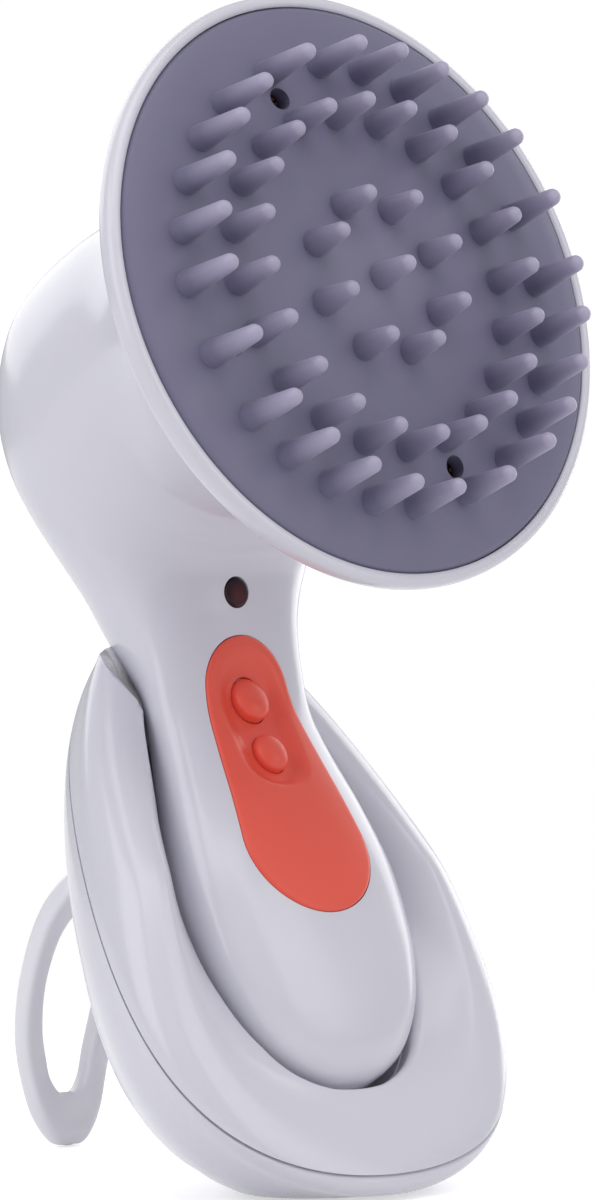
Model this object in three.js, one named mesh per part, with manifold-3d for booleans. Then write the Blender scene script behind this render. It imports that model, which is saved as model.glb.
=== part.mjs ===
// Scalp massager: a handset with a round pad of soft fingers, standing in an egg-shaped charging stand.
// Millimetres, +Z up, the pad faces -Y, and the origin is the middle of the stand's rubber foot.
import * as THREE from "three";
import { mergeVertices } from "three/addons/utils/BufferGeometryUtils.js";
import Module from "manifold-3d";

const wasm = await Module();
wasm.setup();

// Driving dimensions: how the two halves stand
const RIM_LEAN = 38; // the stand's rim leans back from upright, degrees
const HEAD_LEAN = 17; // the pad faces this much above level, degrees
const RIM_BOTTOM = new THREE.Vector3(0, -13, 1.2); // lowest point of the stand's seam
const PAD_CENTRE = new THREE.Vector3(0, -8, 134.5);
const GAP = 0.3; // between pieces that touch

// Handset shell: the head is round, then the sections turn about a pivot under the chin
const PAD_RADIUS = 43.5;
const RIM_RADIUS = PAD_RADIUS + 2.5;
const WALL = 2.4;
const HEAD_RADIUS = 26;
const SKIRT_DEPTH = 14; // the skirt ends and the shell begins this far behind the pad
const PIVOT_DEPTH = 33;
const PIVOT_DROP = 36;
const RING_POINTS = 24;
// depth behind the pad, outer radius
const FLARE = [
  [2.6, RIM_RADIUS],
  [4.4, RIM_RADIUS - 0.6],
  [7, RIM_RADIUS - 3.4],
  [10, RIM_RADIUS - 7],
  [SKIRT_DEPTH, RIM_RADIUS - 11],
  [19, RIM_RADIUS - 15],
  [25, RIM_RADIUS - 18.2],
  [PIVOT_DEPTH, HEAD_RADIUS],
];
// turn in degrees, pivot to front wall, pivot to back wall, half width
const TURN = [
  [13, 9.4, 63.4, 26],
  [26, 8.6, 65.4, 26],
  [34, 8.3, 64.2, 25.8],
  [42, 8, 60.4, 25.2],
  [50, 8, 53.6, 24.2],
  [58, 8, 45.4, 22.7],
  [67, 8, 38.6, 20.8],
  [80, 8, 33, 18.4],
  [95, 8.4, 30.4, 16.6],
  [110, 9.4, 29.2, 15.2],
];
// height up the rim plane, front and back over the rim plane, half width
const HANDLE = [
  [81.2, 22.6, 5.3, 14.4],
  [74.2, 19.9, 2.5, 14.5],
  [67.2, 19.2, -0.6, 15.6],
  [57.2, 18.8, -4.2, 17.8],
  [47.2, 17.8, -7, 19.4],
  [37.2, 16.1, -9, 18.9],
  [31.2, 14.6, -9, 17.6],
  [26.2, 12.8, -8.2, 15.8],
  [22.2, 10.8, -6.6, 13.4],
  [19.2, 9, -4.6, 10.6],
  [17.2, 7.2, -2.4, 7.4],
  [16, 5.2, -0.4, 4.2],
];
const TIP = [15.5, 2.4];

// Small screws
const SCREW_PILOT = 1.2;
const SCREW_SHANK = 0.9;
const SCREW_HEAD = 1.8;
const SCREW_WELL = 2.1;

// Pad, its fingers and what carries it
const PAD_BACK = 2.6;
const PAD_CROWN = 4;
const FINGER_ROOT = 2.4;
const FINGER_TIP = 1.25;
// ring radius, finger length, degrees from each quarter mark
const FINGER_RINGS = [
  [PAD_RADIUS - 9.4, 11, [0, 18, 31.5, 45, 58.5, 72]],
  [PAD_RADIUS - 17.9, 9.2, [0, 18, 36, 54, 72]],
  [PAD_RADIUS - 31.75, 7.4, [0, 45]],
];
const CENTRE_FINGER = 7.4;
const QUARTER_MARK = 110; // degrees from +X to the first quarter mark
const SCREW_RING = PAD_RADIUS - 13.5;
const SCREW_HOLE = 1.75;
const CARRIER_THICKNESS = 1.7;
const POST_RADIUS = 3;

// Motor in the head
const MOTOR_RADIUS = 12;
const MOTOR_LENGTH = 24;
const MOTOR_SHAFT = 1;
const WEIGHT_RADIUS = 9;
const WEIGHT_THICKNESS = 6;
const BRACKET_WALL = 1.8;

// Grip panel, buttons, lamp and board
const PANEL_TOP = 83.2;
const PANEL_BOTTOM = 38.4;
const PANEL_TOP_RADIUS = 8;
const PANEL_BOTTOM_RADIUS = 11.6;
const PANEL_PROUD = 0.35;
const PANEL_DEPTH = 1.3;
const BUTTONS = [
  { name: "power", height: 75.3, radius: 3.7 },
  { name: "mode", height: 66.2, radius: 3.2 },
];
const BUTTON_PROUD = 0.9;
const BUTTON_TRAVEL = 0.8;
const BUTTON_FLANGE = 1.2;
const STEM_RADIUS = 1.6;
const DIMPLE_DEPTH = 0.9;
const DIMPLE_MARGIN = 1.6;
const LENS_RADIUS = 2.3;
const LENS_PLACE = new THREE.Vector3(0, 89.7, 27);
const LENS_TURN = 28;
const BOARD_THICKNESS = 1.4;
const BOARD_HALF_WIDTH = 8.5;
const BOARD_ENDS = [58.2, 93];
const SWITCH_SIZE = 5;
const SWITCH_HEIGHT = 2.2;

// Battery and its cradle, charge contacts, rear cover
const CELL_RADIUS = 5.1;
const CELL_LENGTH = 30;
const CELL_TILT = 10;
const CELL_MIDDLE = [40.2, 4.6];
const CONTACT_HEIGHT = 29.2;
const CONTACT_SPREAD = 6;
const CONTACT_RADIUS = 2;
const CONTACT_LENGTH = 3;
const COVER_ENDS = [39.2, 72.2];
const COVER_HALF_WIDTH = 10.5;
const COVER_SCREW_INSET = 4;

// Stand: an egg outline, scaled up through its height over the seam
const EGG_LENGTH = 94;
const EGG_HALF_WIDTH = 29.7;
const EGG_TAPER = -0.28;
const EGG_LIFT = 1.2;
const EGG_TILT = 0.044;
const EGG_FULLNESS = 0.5;
const EGG_POINTS = 32;
const STAND_WALL = 2.2;
// height over the seam, scale of the outline
const REAR_LEVELS = [
  [-22.4, 0.22],
  [-21.3, 0.38],
  [-18.3, 0.61],
  [-14, 0.79],
  [-9.5, 0.9],
  [-5, 0.97],
];
const FRONT_LEVELS = [
  [0, 1],
  [4, 1.015],
  [7, 1],
  [9.6, 0.95],
  [10.9, 0.89],
  [11.2, 0.83],
];
const DISH_LEVELS = [
  [2.5, 0.6],
  [5.3, 0.7],
  [8, 0.76],
  [10.2, 0.805],
  [12, 0.85],
  [30, 0.87],
];
const RIM_WEDGE = 0.28; // the rim and the dish are lower at both ends by this share
const SEAM = [5.6, 0.6]; // height of the split between the shells, at the foot and at the top
const REAR_WEDGE = 0.15; // the rear shell is deeper at both ends by this share
const CRADLE_CLEARANCE = 1.1;
const BASE_FLAT = 0.8; // the rear shell is cut flat this far over the ground
const FOOT_LENGTH = 26;
const FOOT_WIDTH = 9;
const FOOT_THICKNESS = 1.6;
const STAND_SCREWS = [
  [23.6, 50],
  [-23.6, 50],
  [20, 13],
  [-20, 13],
];

// Kickstand: its side curve from the hinge down, and its front outline
const HINGE = new THREE.Vector3(0, 47, 46.5);
const KICK_CURVE = [
  [0, 0],
  [4.8, -4.4],
  [9.8, -10.6],
  [14.2, -20],
  [15.8, -31],
  [14.6, -46.5],
];
const KICK_THICKNESS = 4;
const KICK_TOP_HALF = 9;
const KICK_FOOT_HALF = 5.4;
const KICK_STRAND = 3.4;
const KICK_CROSSBAR = 8;
const KICK_PAD = 1.6; // height of the rubber pad in the foot
const KICK_PAD_PROUD = 0.5;
const KICK_PAD_HALF = [2.8, 1.1];
const BARREL_RADIUS = 2.6;
const PIN_RADIUS = 1.25;
const EAR_THICKNESS = 2.4;

// Socket for the power lead
const INLET_HEIGHT = 56;
const INLET_RADIUS = 4;
const INLET_BORE = 1.75;
const INLET_LENGTH = 8;
const INLET_FACE = -18.4;
const INLET_COLLAR = [-20, -10.2]; // the collar round the socket, over the rim plane
const INLET_SEAT = -11.6;

const rad = THREE.MathUtils.degToRad;
const standFrame = new THREE.Matrix4()
  .makeTranslation(RIM_BOTTOM.x, RIM_BOTTOM.y, RIM_BOTTOM.z)
  .multiply(new THREE.Matrix4().makeRotationX(Math.PI / 2 - rad(RIM_LEAN)));
const worldInStand = standFrame.clone().invert();
const padInStand = PAD_CENTRE.clone().applyMatrix4(worldInStand);
const headInStand = new THREE.Matrix4()
  .makeTranslation(padInStand.x, padInStand.y, padInStand.z)
  .multiply(new THREE.Matrix4().makeRotationX(rad(RIM_LEAN - HEAD_LEAN)));

// Solids
function solid(geometry) {
  const bare = geometry.clone();
  bare.deleteAttribute("normal");
  bare.deleteAttribute("uv");
  const merged = mergeVertices(bare, 1e-4);
  const mesh = new wasm.Mesh({
    numProp: 3,
    vertProperties: new Float32Array(merged.attributes.position.array),
    triVerts: new Uint32Array(merged.index.array),
  });
  return new wasm.Manifold(mesh);
}

function geometryOf(body) {
  const mesh = body.getMesh();
  const geometry = new THREE.BufferGeometry();
  geometry.setAttribute("position", new THREE.BufferAttribute(mesh.vertProperties, 3));
  geometry.setIndex(new THREE.BufferAttribute(mesh.triVerts, 1));
  return geometry;
}

// A closed body through rings of equal point count, whichever way the rings run.
function loft(rings) {
  const count = rings[0].length;
  const points = rings.flat();
  const middle = (ring) => ring.reduce((sum, p) => sum.add(p), new THREE.Vector3()).divideScalar(count);
  points.push(middle(rings[0]), middle(rings[rings.length - 1]));
  const index = [];
  for (let r = 0; r + 1 < rings.length; r++) {
    for (let i = 0; i < count; i++) {
      const j = (i + 1) % count;
      const a = r * count;
      const b = a + count;
      index.push(a + i, a + j, b + j, a + i, b + j, b + i);
    }
  }
  const last = (rings.length - 1) * count;
  for (let i = 0; i < count; i++) {
    const j = (i + 1) % count;
    index.push(points.length - 2, j, i, points.length - 1, last + i, last + j);
  }
  const geometry = new THREE.BufferGeometry().setFromPoints(points);
  geometry.setIndex(signedVolume(points, index) < 0 ? index.reverse() : index);
  return geometry;
}

function signedVolume(points, index) {
  let volume = 0;
  for (let i = 0; i < index.length; i += 3) {
    const [a, b, c] = [points[index[i]], points[index[i + 1]], points[index[i + 2]]];
    volume += a.dot(b.clone().cross(c));
  }
  return volume;
}

function box(low, high) {
  const size = high.clone().sub(low);
  const middle = high.clone().add(low).multiplyScalar(0.5);
  return new THREE.BoxGeometry(size.x, size.y, size.z).translate(middle.x, middle.y, middle.z);
}

// A cylinder along +Z from one height to another, round a point of the XY plane.
function post(radius, low, high, x = 0, y = 0, sides = 16) {
  return new THREE.CylinderGeometry(radius, radius, high - low, sides)
    .rotateX(Math.PI / 2)
    .translate(x, y, (low + high) / 2);
}

// A profile of [radius, height] points turned about the Z axis.
function turned(profile, sides) {
  const points = profile.map(([r, z]) => new THREE.Vector2(r, z));
  return new THREE.LatheGeometry(points, sides).rotateX(Math.PI / 2);
}

function turnedSolid(profile, sides) {
  const body = solid(turned(profile, sides));
  return body.volume() < 0 ? solid(turned(profile.slice().reverse(), sides)) : body;
}

// A flat shape pushed along +Z.
function prism(shape, low, high) {
  const options = { depth: high - low, bevelEnabled: false, curveSegments: 10 };
  return new THREE.ExtrudeGeometry(shape, options).translate(0, 0, low);
}

// Points between stations on a smooth curve through them.
function spread(stations, steps) {
  const rows = [];
  const at = (i) => stations[Math.min(Math.max(i, 0), stations.length - 1)];
  for (let i = 0; i + 1 < stations.length; i++) {
    const [p, q, r, s] = [at(i - 1), at(i), at(i + 1), at(i + 2)];
    for (let k = 0; k < steps; k++) {
      const t = k / steps;
      rows.push(
        q.map((_, c) => {
          const pull = (r[c] - p[c]) / 2;
          const next = (s[c] - q[c]) / 2;
          const rise = r[c] - q[c];
          return q[c] + t * (pull + t * (3 * rise - 2 * pull - next + t * (pull + next - 2 * rise)));
        }),
      );
    }
  }
  rows.push(stations[stations.length - 1].slice());
  return rows;
}

function along(stations, place, column) {
  const rows = stations.slice().sort((a, b) => a[0] - b[0]);
  const high = Math.max(1, rows.findIndex((row) => row[0] >= place));
  const [a, b] = [rows[high - 1], rows[high]];
  return a[column] + ((b[column] - a[column]) * (place - a[0])) / (b[0] - a[0]);
}

// Handset shell sections, all in the stand's frame: y runs up the rim and z points out of it
function section(front, back, frontWay, halfWidth, split, square) {
  const across = front.distanceTo(back);
  const middle = front.clone().lerp(back, split);
  const ring = [];
  for (let i = 0; i < RING_POINTS; i++) {
    const turn = (2 * Math.PI * i) / RING_POINTS;
    const power = Math.sin(turn) > 0 ? 2 / square : 1;
    const wide = Math.sign(Math.cos(turn)) * Math.abs(Math.cos(turn)) ** power;
    const deep = Math.sign(Math.sin(turn)) * Math.abs(Math.sin(turn)) ** power;
    const reach = deep > 0 ? split * across : (1 - split) * across;
    const point = middle.clone().addScaledVector(frontWay, deep * reach);
    point.x = wide * halfWidth;
    ring.push(point);
  }
  return ring;
}

function headPoint(depth, rise) {
  return new THREE.Vector3(0, rise, -depth).applyMatrix4(headInStand);
}

function headWay(depth, rise) {
  return headPoint(depth, rise).sub(headPoint(0, 0)).normalize();
}

const ROUND_SPLIT = 0.5;
const HANDLE_SPLIT = 0.33;
const HANDLE_SQUARE = 2.6;

// The shell's outer form, shrunk by inset all round.
function shellForm(inset, start) {
  const rings = [];
  const round = FLARE.filter((row) => row[0] > start);
  const first = [start, along(FLARE, start, 1)];
  for (const [depth, radius] of [first, ...round]) {
    const r = radius - inset;
    rings.push(section(headPoint(depth, -r), headPoint(depth, r), headWay(0, -1), r, ROUND_SPLIT, 2));
  }
  const pivot = headPoint(PIVOT_DEPTH, -PIVOT_DROP);
  const lastTurn = TURN[TURN.length - 1][0];
  const turns = spread([[0, PIVOT_DROP - HEAD_RADIUS, PIVOT_DROP + HEAD_RADIUS, HEAD_RADIUS], ...TURN], 1);
  for (const [turn, near, far, half] of turns.slice(1)) {
    const way = headWay(Math.sin(rad(turn)), Math.cos(rad(turn)));
    const front = pivot.clone().addScaledVector(way, near + inset);
    const back = pivot.clone().addScaledVector(way, far - inset);
    const share = turn / lastTurn;
    const split = ROUND_SPLIT + (HANDLE_SPLIT - ROUND_SPLIT) * share;
    const square = 2 + (HANDLE_SQUARE - 2) * share;
    rings.push(section(front, back, way.clone().negate(), half - inset, split, square));
  }
  for (const [height, front, back, half] of handleRows(inset)) {
    const low = new THREE.Vector3(0, height, back);
    const high = new THREE.Vector3(0, height, front);
    rings.push(section(high, low, new THREE.Vector3(0, 0, 1), half, HANDLE_SPLIT, HANDLE_SQUARE));
  }
  return solid(loft(rings));
}

// Handle stations, drawn in by inset, with the tip raised by the same.
function handleRows(inset) {
  const shoulder = HANDLE.find((row) => row[0] < 20)[0];
  const rows = [];
  for (const [height, front, back, half] of spread(HANDLE, inset > 0 ? 1 : 2)) {
    const near = Math.max(0, (shoulder - height) / (shoulder - TIP[0]));
    const raised = height + inset * near ** 0.5;
    const room = Math.min(inset, 0.42 * (front - back), 0.8 * half);
    rows.push([raised, front - room, back + room, half - room]);
  }
  return rows;
}

// Outline of the grip panel: two round ends of unlike size and straight sides
function panelShape(margin) {
  const top = PANEL_TOP - PANEL_TOP_RADIUS;
  const bottom = PANEL_BOTTOM + PANEL_BOTTOM_RADIUS;
  const lean = Math.asin((PANEL_BOTTOM_RADIUS - PANEL_TOP_RADIUS) / (top - bottom));
  const shape = new THREE.Shape();
  shape.absarc(0, top, PANEL_TOP_RADIUS + margin, lean, Math.PI - lean, false);
  shape.absarc(0, bottom, PANEL_BOTTOM_RADIUS + margin, Math.PI - lean, lean, false);
  return shape;
}

function panelPrism(margin) {
  return solid(prism(panelShape(margin), 15, 45));
}

// Shallow trough round the two buttons
function dimplePrism() {
  const [power, mode] = BUTTONS;
  const shape = new THREE.Shape();
  shape.absarc(0, power.height, power.radius + DIMPLE_MARGIN, 0, Math.PI, false);
  shape.absarc(0, mode.height - 1.5, mode.radius + DIMPLE_MARGIN, Math.PI, 2 * Math.PI, false);
  return solid(prism(shape, 15, 45));
}

function lensFrame() {
  return new THREE.Matrix4()
    .makeTranslation(LENS_PLACE.x, LENS_PLACE.y, LENS_PLACE.z)
    .multiply(new THREE.Matrix4().makeRotationX(rad(LENS_TURN)));
}

function coverShape(margin) {
  const [low, high] = COVER_ENDS;
  const half = COVER_HALF_WIDTH + margin;
  const shape = new THREE.Shape();
  shape.absarc(0, high - COVER_HALF_WIDTH, half, 0, Math.PI, false);
  shape.absarc(0, low + COVER_HALF_WIDTH, half, Math.PI, 2 * Math.PI, false);
  return shape;
}

const COVER_LID = 9; // the cover takes the shell's back wall below this height over the rim
const innerShell = shellForm(WALL, SKIRT_DEPTH - 6);
const outerShell = shellForm(0, SKIRT_DEPTH + GAP);
const coverScrews = COVER_ENDS.map((end, i) => end + (i ? -COVER_SCREW_INSET : COVER_SCREW_INSET));

function screwMarks() {
  return [0, 1, 2, 3].map((k) => {
    const turn = rad(QUARTER_MARK + 90 * k);
    return [SCREW_RING * Math.cos(turn), SCREW_RING * Math.sin(turn)];
  });
}

function inHead(geometry) {
  return solid(geometry.applyMatrix4(headInStand));
}

function handsetShell() {
  const carrierBack = PAD_BACK + 2 * GAP + CARRIER_THICKNESS;
  let body = outerShell.subtract(innerShell);
  for (const [x, y] of screwMarks()) {
    const reach = SKIRT_DEPTH + 10;
    const boss = inHead(post(POST_RADIUS, -reach, -carrierBack, x, y));
    body = body.add(boss.intersect(shellForm(0, SKIRT_DEPTH - 10)));
  }
  for (const [x, y] of screwMarks()) {
    body = body.subtract(inHead(post(SCREW_PILOT, -carrierBack - 8, 0, x, y, 12)));
  }
  body = body.subtract(panelPrism(GAP).subtract(shellForm(PANEL_DEPTH + GAP, SKIRT_DEPTH)));
  for (const { height, radius } of BUTTONS) {
    const floor = buttonSeat(height) - BUTTON_TRAVEL - 0.1;
    body = body.subtract(solid(post(radius + GAP, floor, 40, 0, height, 24)));
    body = body.subtract(solid(post(STEM_RADIUS + GAP, 15, 40, 0, height, 16)));
  }
  body = body.subtract(solid(post(LENS_RADIUS + GAP, -6, 6).applyMatrix4(lensFrame())));
  for (const side of [-1, 1]) {
    const hole = post(CONTACT_RADIUS + GAP, -12, 5, side * CONTACT_SPREAD, CONTACT_HEIGHT, 16);
    body = body.subtract(solid(hole));
  }
  const opening = solid(prism(coverShape(GAP), -15, COVER_LID));
  body = body.subtract(opening);
  for (const height of coverScrews) {
    body = body.add(coverBar(height).subtract(opening.subtract(innerShell)));
  }
  return body;
}

// A bar across the handle that a cover screw holds in
function coverBar(height) {
  const low = along(HANDLE, height, 2) + WALL - 1;
  const half = SCREW_WELL + 0.2;
  const bar = box(new THREE.Vector3(-30, height - half, low), new THREE.Vector3(30, height + half, low + 4));
  return solid(bar).intersect(outerShell).subtract(solid(post(SCREW_PILOT, -15, 15, 0, height, 12)));
}

function headSkirt() {
  const lip = PAD_RADIUS + 2 * GAP;
  const ledge = PAD_BACK + 3 * GAP + CARRIER_THICKNESS;
  const outer = FLARE.filter((row) => row[0] <= SKIRT_DEPTH);
  const profile = outer.map(([depth, radius]) => [radius, -depth]);
  profile.push([along(FLARE, SKIRT_DEPTH, 1) - WALL / 2, -SKIRT_DEPTH]);
  profile.push([along(FLARE, 10, 1) - WALL, -10]);
  profile.push([lip - 3, -ledge - 1], [lip - 3, -ledge], [lip, -ledge], [lip, -1.4]);
  profile.push([lip + 0.4, -0.9], [lip + 1, -0.9], [lip + 1.6, -1.4]);
  profile.push(profile[0]);
  return turnedSolid(profile, 56);
}

// Pad face height over the plane of the outer fingers' roots
function padFace(radius) {
  const slope = PAD_CROWN / (FINGER_RINGS[0][0] + 2);
  return radius < 4 ? PAD_CROWN - slope * 2 - (slope * radius * radius) / 8 : PAD_CROWN - slope * radius;
}

function finger(length) {
  const profile = [
    [0, -1.5],
    [FINGER_ROOT, -1.5],
    [FINGER_ROOT, 0.3],
    [FINGER_TIP, length - FINGER_TIP],
    [FINGER_TIP * 0.65, length - 0.3],
    [0, length],
  ];
  return turned(profile, 6);
}

function massagePad() {
  const radii = [0, 0.09, 0.28, 0.55, 0.78, 0.94].map((share) => share * PAD_RADIUS);
  const face = radii.map((r) => [r, padFace(r)]);
  const edge = padFace(PAD_RADIUS);
  const rim = [[PAD_RADIUS, -PAD_BACK], [PAD_RADIUS, edge - 0.4], [PAD_RADIUS - 0.6, edge]];
  let body = turnedSolid([[0, -PAD_BACK], ...rim, ...face.reverse()], 56);
  for (const [ring, length, offsets] of FINGER_RINGS) {
    for (let quarter = 0; quarter < 4; quarter++) {
      for (const offset of offsets) {
        const turn = rad(QUARTER_MARK + 90 * quarter + offset);
        const place = [ring * Math.cos(turn), ring * Math.sin(turn), padFace(ring)];
        body = body.add(solid(finger(length).translate(...place)));
      }
    }
  }
  body = body.add(solid(finger(CENTRE_FINGER).translate(0, 0, padFace(0))));
  for (const [x, y] of screwMarks()) {
    body = body.subtract(solid(post(SCREW_HOLE, -10, 10, x, y, 14)));
  }
  return body;
}

function padCarrier() {
  const front = -PAD_BACK - GAP;
  let body = solid(post(PAD_RADIUS, front - CARRIER_THICKNESS, front, 0, 0, 48));
  for (const [x, y] of screwMarks()) {
    body = body.subtract(solid(post(SCREW_PILOT, -20, 0, x, y, 12)));
  }
  return body;
}

function padScrew() {
  const seat = -PAD_BACK;
  const profile = [
    [0, seat - 8],
    [SCREW_SHANK, seat - 8],
    [SCREW_SHANK, seat],
    [SCREW_HOLE - GAP, seat],
    [SCREW_HOLE - GAP, seat + 1.2],
    [0.5, seat + 1.5],
    [0.5, seat + 0.8],
    [0, seat + 0.8],
  ];
  return turnedSolid(profile, 14);
}

// Motor: can in a bracket behind the carrier, shaft to the rear with the eccentric weight
const BRACKET_FRONT = -PAD_BACK - 2 * GAP - CARRIER_THICKNESS;
const MOTOR_FRONT = BRACKET_FRONT - BRACKET_WALL - GAP;
const MOTOR_REAR = MOTOR_FRONT - MOTOR_LENGTH;

function motorBracket() {
  const outer = MOTOR_RADIUS + GAP + BRACKET_WALL;
  const cup = solid(post(outer, MOTOR_FRONT - MOTOR_LENGTH * 0.6, BRACKET_FRONT, 0, 0, 40));
  const flange = solid(post(outer + 7, BRACKET_FRONT - BRACKET_WALL, BRACKET_FRONT, 0, 0, 40));
  const bore = solid(post(MOTOR_RADIUS + GAP, MOTOR_REAR - 5, MOTOR_FRONT + GAP, 0, 0, 40));
  return cup.add(flange).subtract(bore);
}

function motorCan() {
  const boss = 3;
  const can = solid(post(MOTOR_RADIUS, MOTOR_REAR, MOTOR_FRONT, 0, 0, 40));
  const nose = solid(post(boss, MOTOR_REAR - 1.5, MOTOR_REAR + 1, 0, 0, 20));
  return can.add(nose).subtract(solid(post(MOTOR_SHAFT + GAP, MOTOR_REAR - 5, MOTOR_REAR + 4, 0, 0, 16)));
}

function eccentricWeight() {
  const rear = MOTOR_REAR - 3 - WEIGHT_THICKNESS;
  const shaft = solid(post(MOTOR_SHAFT, rear - 1, MOTOR_REAR + 3.5, 0, 0, 16));
  const hub = solid(post(3, rear, rear + WEIGHT_THICKNESS, 0, 0, 24));
  const shape = new THREE.Shape();
  shape.absarc(0, 0, WEIGHT_RADIUS, Math.PI, 2 * Math.PI, false);
  return shaft.add(hub).add(solid(prism(shape, rear, rear + WEIGHT_THICKNESS)));
}

// Panel and buttons
function gripPanel() {
  const skin = shellForm(-PANEL_PROUD, SKIRT_DEPTH).subtract(shellForm(PANEL_DEPTH, SKIRT_DEPTH));
  let body = skin.intersect(panelPrism(0));
  body = body.subtract(dimplePrism().subtract(shellForm(DIMPLE_DEPTH - PANEL_PROUD, SKIRT_DEPTH)));
  for (const button of BUTTONS) {
    body = body.subtract(solid(post(button.radius + GAP, 15, 45, 0, button.height, 24)));
  }
  return body;
}

function shellFront(height) {
  return along(HANDLE, height, 1);
}

function buttonSeat(height) {
  return shellFront(height) - PANEL_DEPTH - GAP + BUTTON_TRAVEL + 0.1;
}

function button({ height, radius }) {
  const top = shellFront(height) + BUTTON_PROUD;
  const seat = buttonSeat(height);
  const stemEnd = boardTop() + SWITCH_HEIGHT + 2 * GAP + BUTTON_TRAVEL;
  const profile = [
    [0, stemEnd],
    [STEM_RADIUS, stemEnd],
    [STEM_RADIUS, seat],
    [radius, seat],
    [radius, top - BUTTON_FLANGE],
    [radius * 0.86, top - 0.55],
    [radius * 0.5, top - 0.12],
    [0, top],
  ];
  return turnedSolid(profile, 24).translate([0, height, 0]);
}

function boardTop() {
  return shellFront(BUTTONS[1].height) - WALL - BUTTON_TRAVEL - SWITCH_HEIGHT - 3 * GAP;
}

function circuitBoard() {
  const top = boardTop();
  const [low, high] = BOARD_ENDS;
  const half = BOARD_HALF_WIDTH;
  return solid(box(new THREE.Vector3(-half, low, top - BOARD_THICKNESS), new THREE.Vector3(half, high, top)));
}

function tactSwitch({ height }) {
  const low = boardTop() + GAP;
  const half = SWITCH_SIZE / 2;
  const high = low + 1.6;
  const can = box(new THREE.Vector3(-half, height - half, low), new THREE.Vector3(half, height + half, high));
  return solid(can).add(solid(post(1.4, low + 1, low + SWITCH_HEIGHT - GAP, 0, height, 14)));
}

function indicatorLens() {
  const profile = [
    [0, -WALL],
    [LENS_RADIUS, -WALL],
    [LENS_RADIUS, 0],
    [LENS_RADIUS * 0.7, 0.35],
    [0, 0.5],
  ];
  return solid(turned(profile, 20).applyMatrix4(lensFrame()));
}

function indicatorLamp() {
  const inner = new THREE.Vector3(0, 0, -WALL - GAP).applyMatrix4(lensFrame());
  const top = inner.z - 1.6;
  return solid(post(1.5, boardTop() + GAP, top, 0, inner.y + 0.9, 16)).add(
    solid(post(1.9, boardTop() + GAP, top - 4.5, 0, inner.y + 0.9, 16)),
  );
}

// Battery
function cellFrame() {
  return new THREE.Matrix4()
    .makeTranslation(0, CELL_MIDDLE[0], CELL_MIDDLE[1])
    .multiply(new THREE.Matrix4().makeRotationX(rad(CELL_TILT) - Math.PI / 2));
}

function batteryCell(side) {
  const x = side * (CELL_RADIUS + GAP);
  const end = CELL_LENGTH / 2;
  const can = post(CELL_RADIUS, -end, end - 1, x, 0, 28).applyMatrix4(cellFrame());
  const cap = post(1.8, end - 1.5, end, x, 0, 16).applyMatrix4(cellFrame());
  return solid(can).add(solid(cap));
}

function batteryCradle() {
  const wide = 2 * CELL_RADIUS + 2 * GAP + 1.4;
  const long = CELL_LENGTH / 2 + GAP + 1.4;
  const floor = CELL_RADIUS + GAP + 1;
  const tray = box(new THREE.Vector3(-wide, 0, -long), new THREE.Vector3(wide, floor, long));
  let body = solid(tray.applyMatrix4(cellFrame()));
  const low = -CELL_LENGTH / 2 - GAP;
  for (const side of [-1, 1]) {
    const x = side * (CELL_RADIUS + GAP);
    const bore = post(CELL_RADIUS + GAP, low, -low, x, 0, 28).applyMatrix4(cellFrame());
    body = body.subtract(solid(bore));
  }
  for (const side of [-1, 1]) {
    const top = contactFace() + CONTACT_LENGTH + GAP;
    const room = post(CONTACT_RADIUS + GAP, -20, top, side * CONTACT_SPREAD, CONTACT_HEIGHT, 18);
    body = body.subtract(solid(room));
  }
  return body.intersect(shellForm(WALL + GAP, SKIRT_DEPTH));
}

function contactFace() {
  return backAt(CONTACT_HEIGHT, CONTACT_SPREAD) + GAP;
}

function backAt(height, x) {
  const [front, back, half] = [1, 2, 3].map((column) => along(HANDLE, height, column));
  const middle = front - HANDLE_SPLIT * (front - back);
  return middle - (middle - back) * Math.sqrt(1 - (x / half) ** 2);
}

function chargeContact(side) {
  const face = contactFace();
  return solid(post(CONTACT_RADIUS, face, face + CONTACT_LENGTH, side * CONTACT_SPREAD, CONTACT_HEIGHT, 18));
}

function rearCover() {
  const skin = outerShell.subtract(shellForm(WALL - GAP, SKIRT_DEPTH));
  let body = skin.intersect(solid(prism(coverShape(0), -15, COVER_LID - GAP)));
  for (const height of coverScrews) {
    body = body.subtract(solid(post(SCREW_PILOT, -15, 15, 0, height, 14)));
    body = body.subtract(solid(post(SCREW_WELL, -15, along(HANDLE, height, 2) + 1, 0, height, 16)));
  }
  return body;
}

function coverScrew(height) {
  const seat = along(HANDLE, height, 2) + 1;
  const head = solid(post(SCREW_HEAD, seat - 1.1, seat - 0.05, 0, height, 16));
  return head.add(solid(post(SCREW_SHANK, seat - 0.5, seat + 4, 0, height, 12)));
}

// Stand shells
function eggRing(scale, height, inset) {
  const ring = [];
  const half = EGG_LENGTH / 2;
  for (let i = 0; i < EGG_POINTS; i++) {
    const turn = (2 * Math.PI * i) / EGG_POINTS;
    const t = Math.sin(turn);
    const x = Math.cos(turn) * (EGG_HALF_WIDTH * scale - inset) * (1 + EGG_TAPER * t + EGG_FULLNESS * t * t);
    const y = half + t * (half * scale - inset);
    const share = height < 0 ? 1 + REAR_WEDGE * Math.abs(t) : 1 - RIM_WEDGE * Math.abs(t);
    ring.push(new THREE.Vector3(x, y, height * share + EGG_LIFT + EGG_TILT * y));
  }
  return ring;
}

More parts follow.
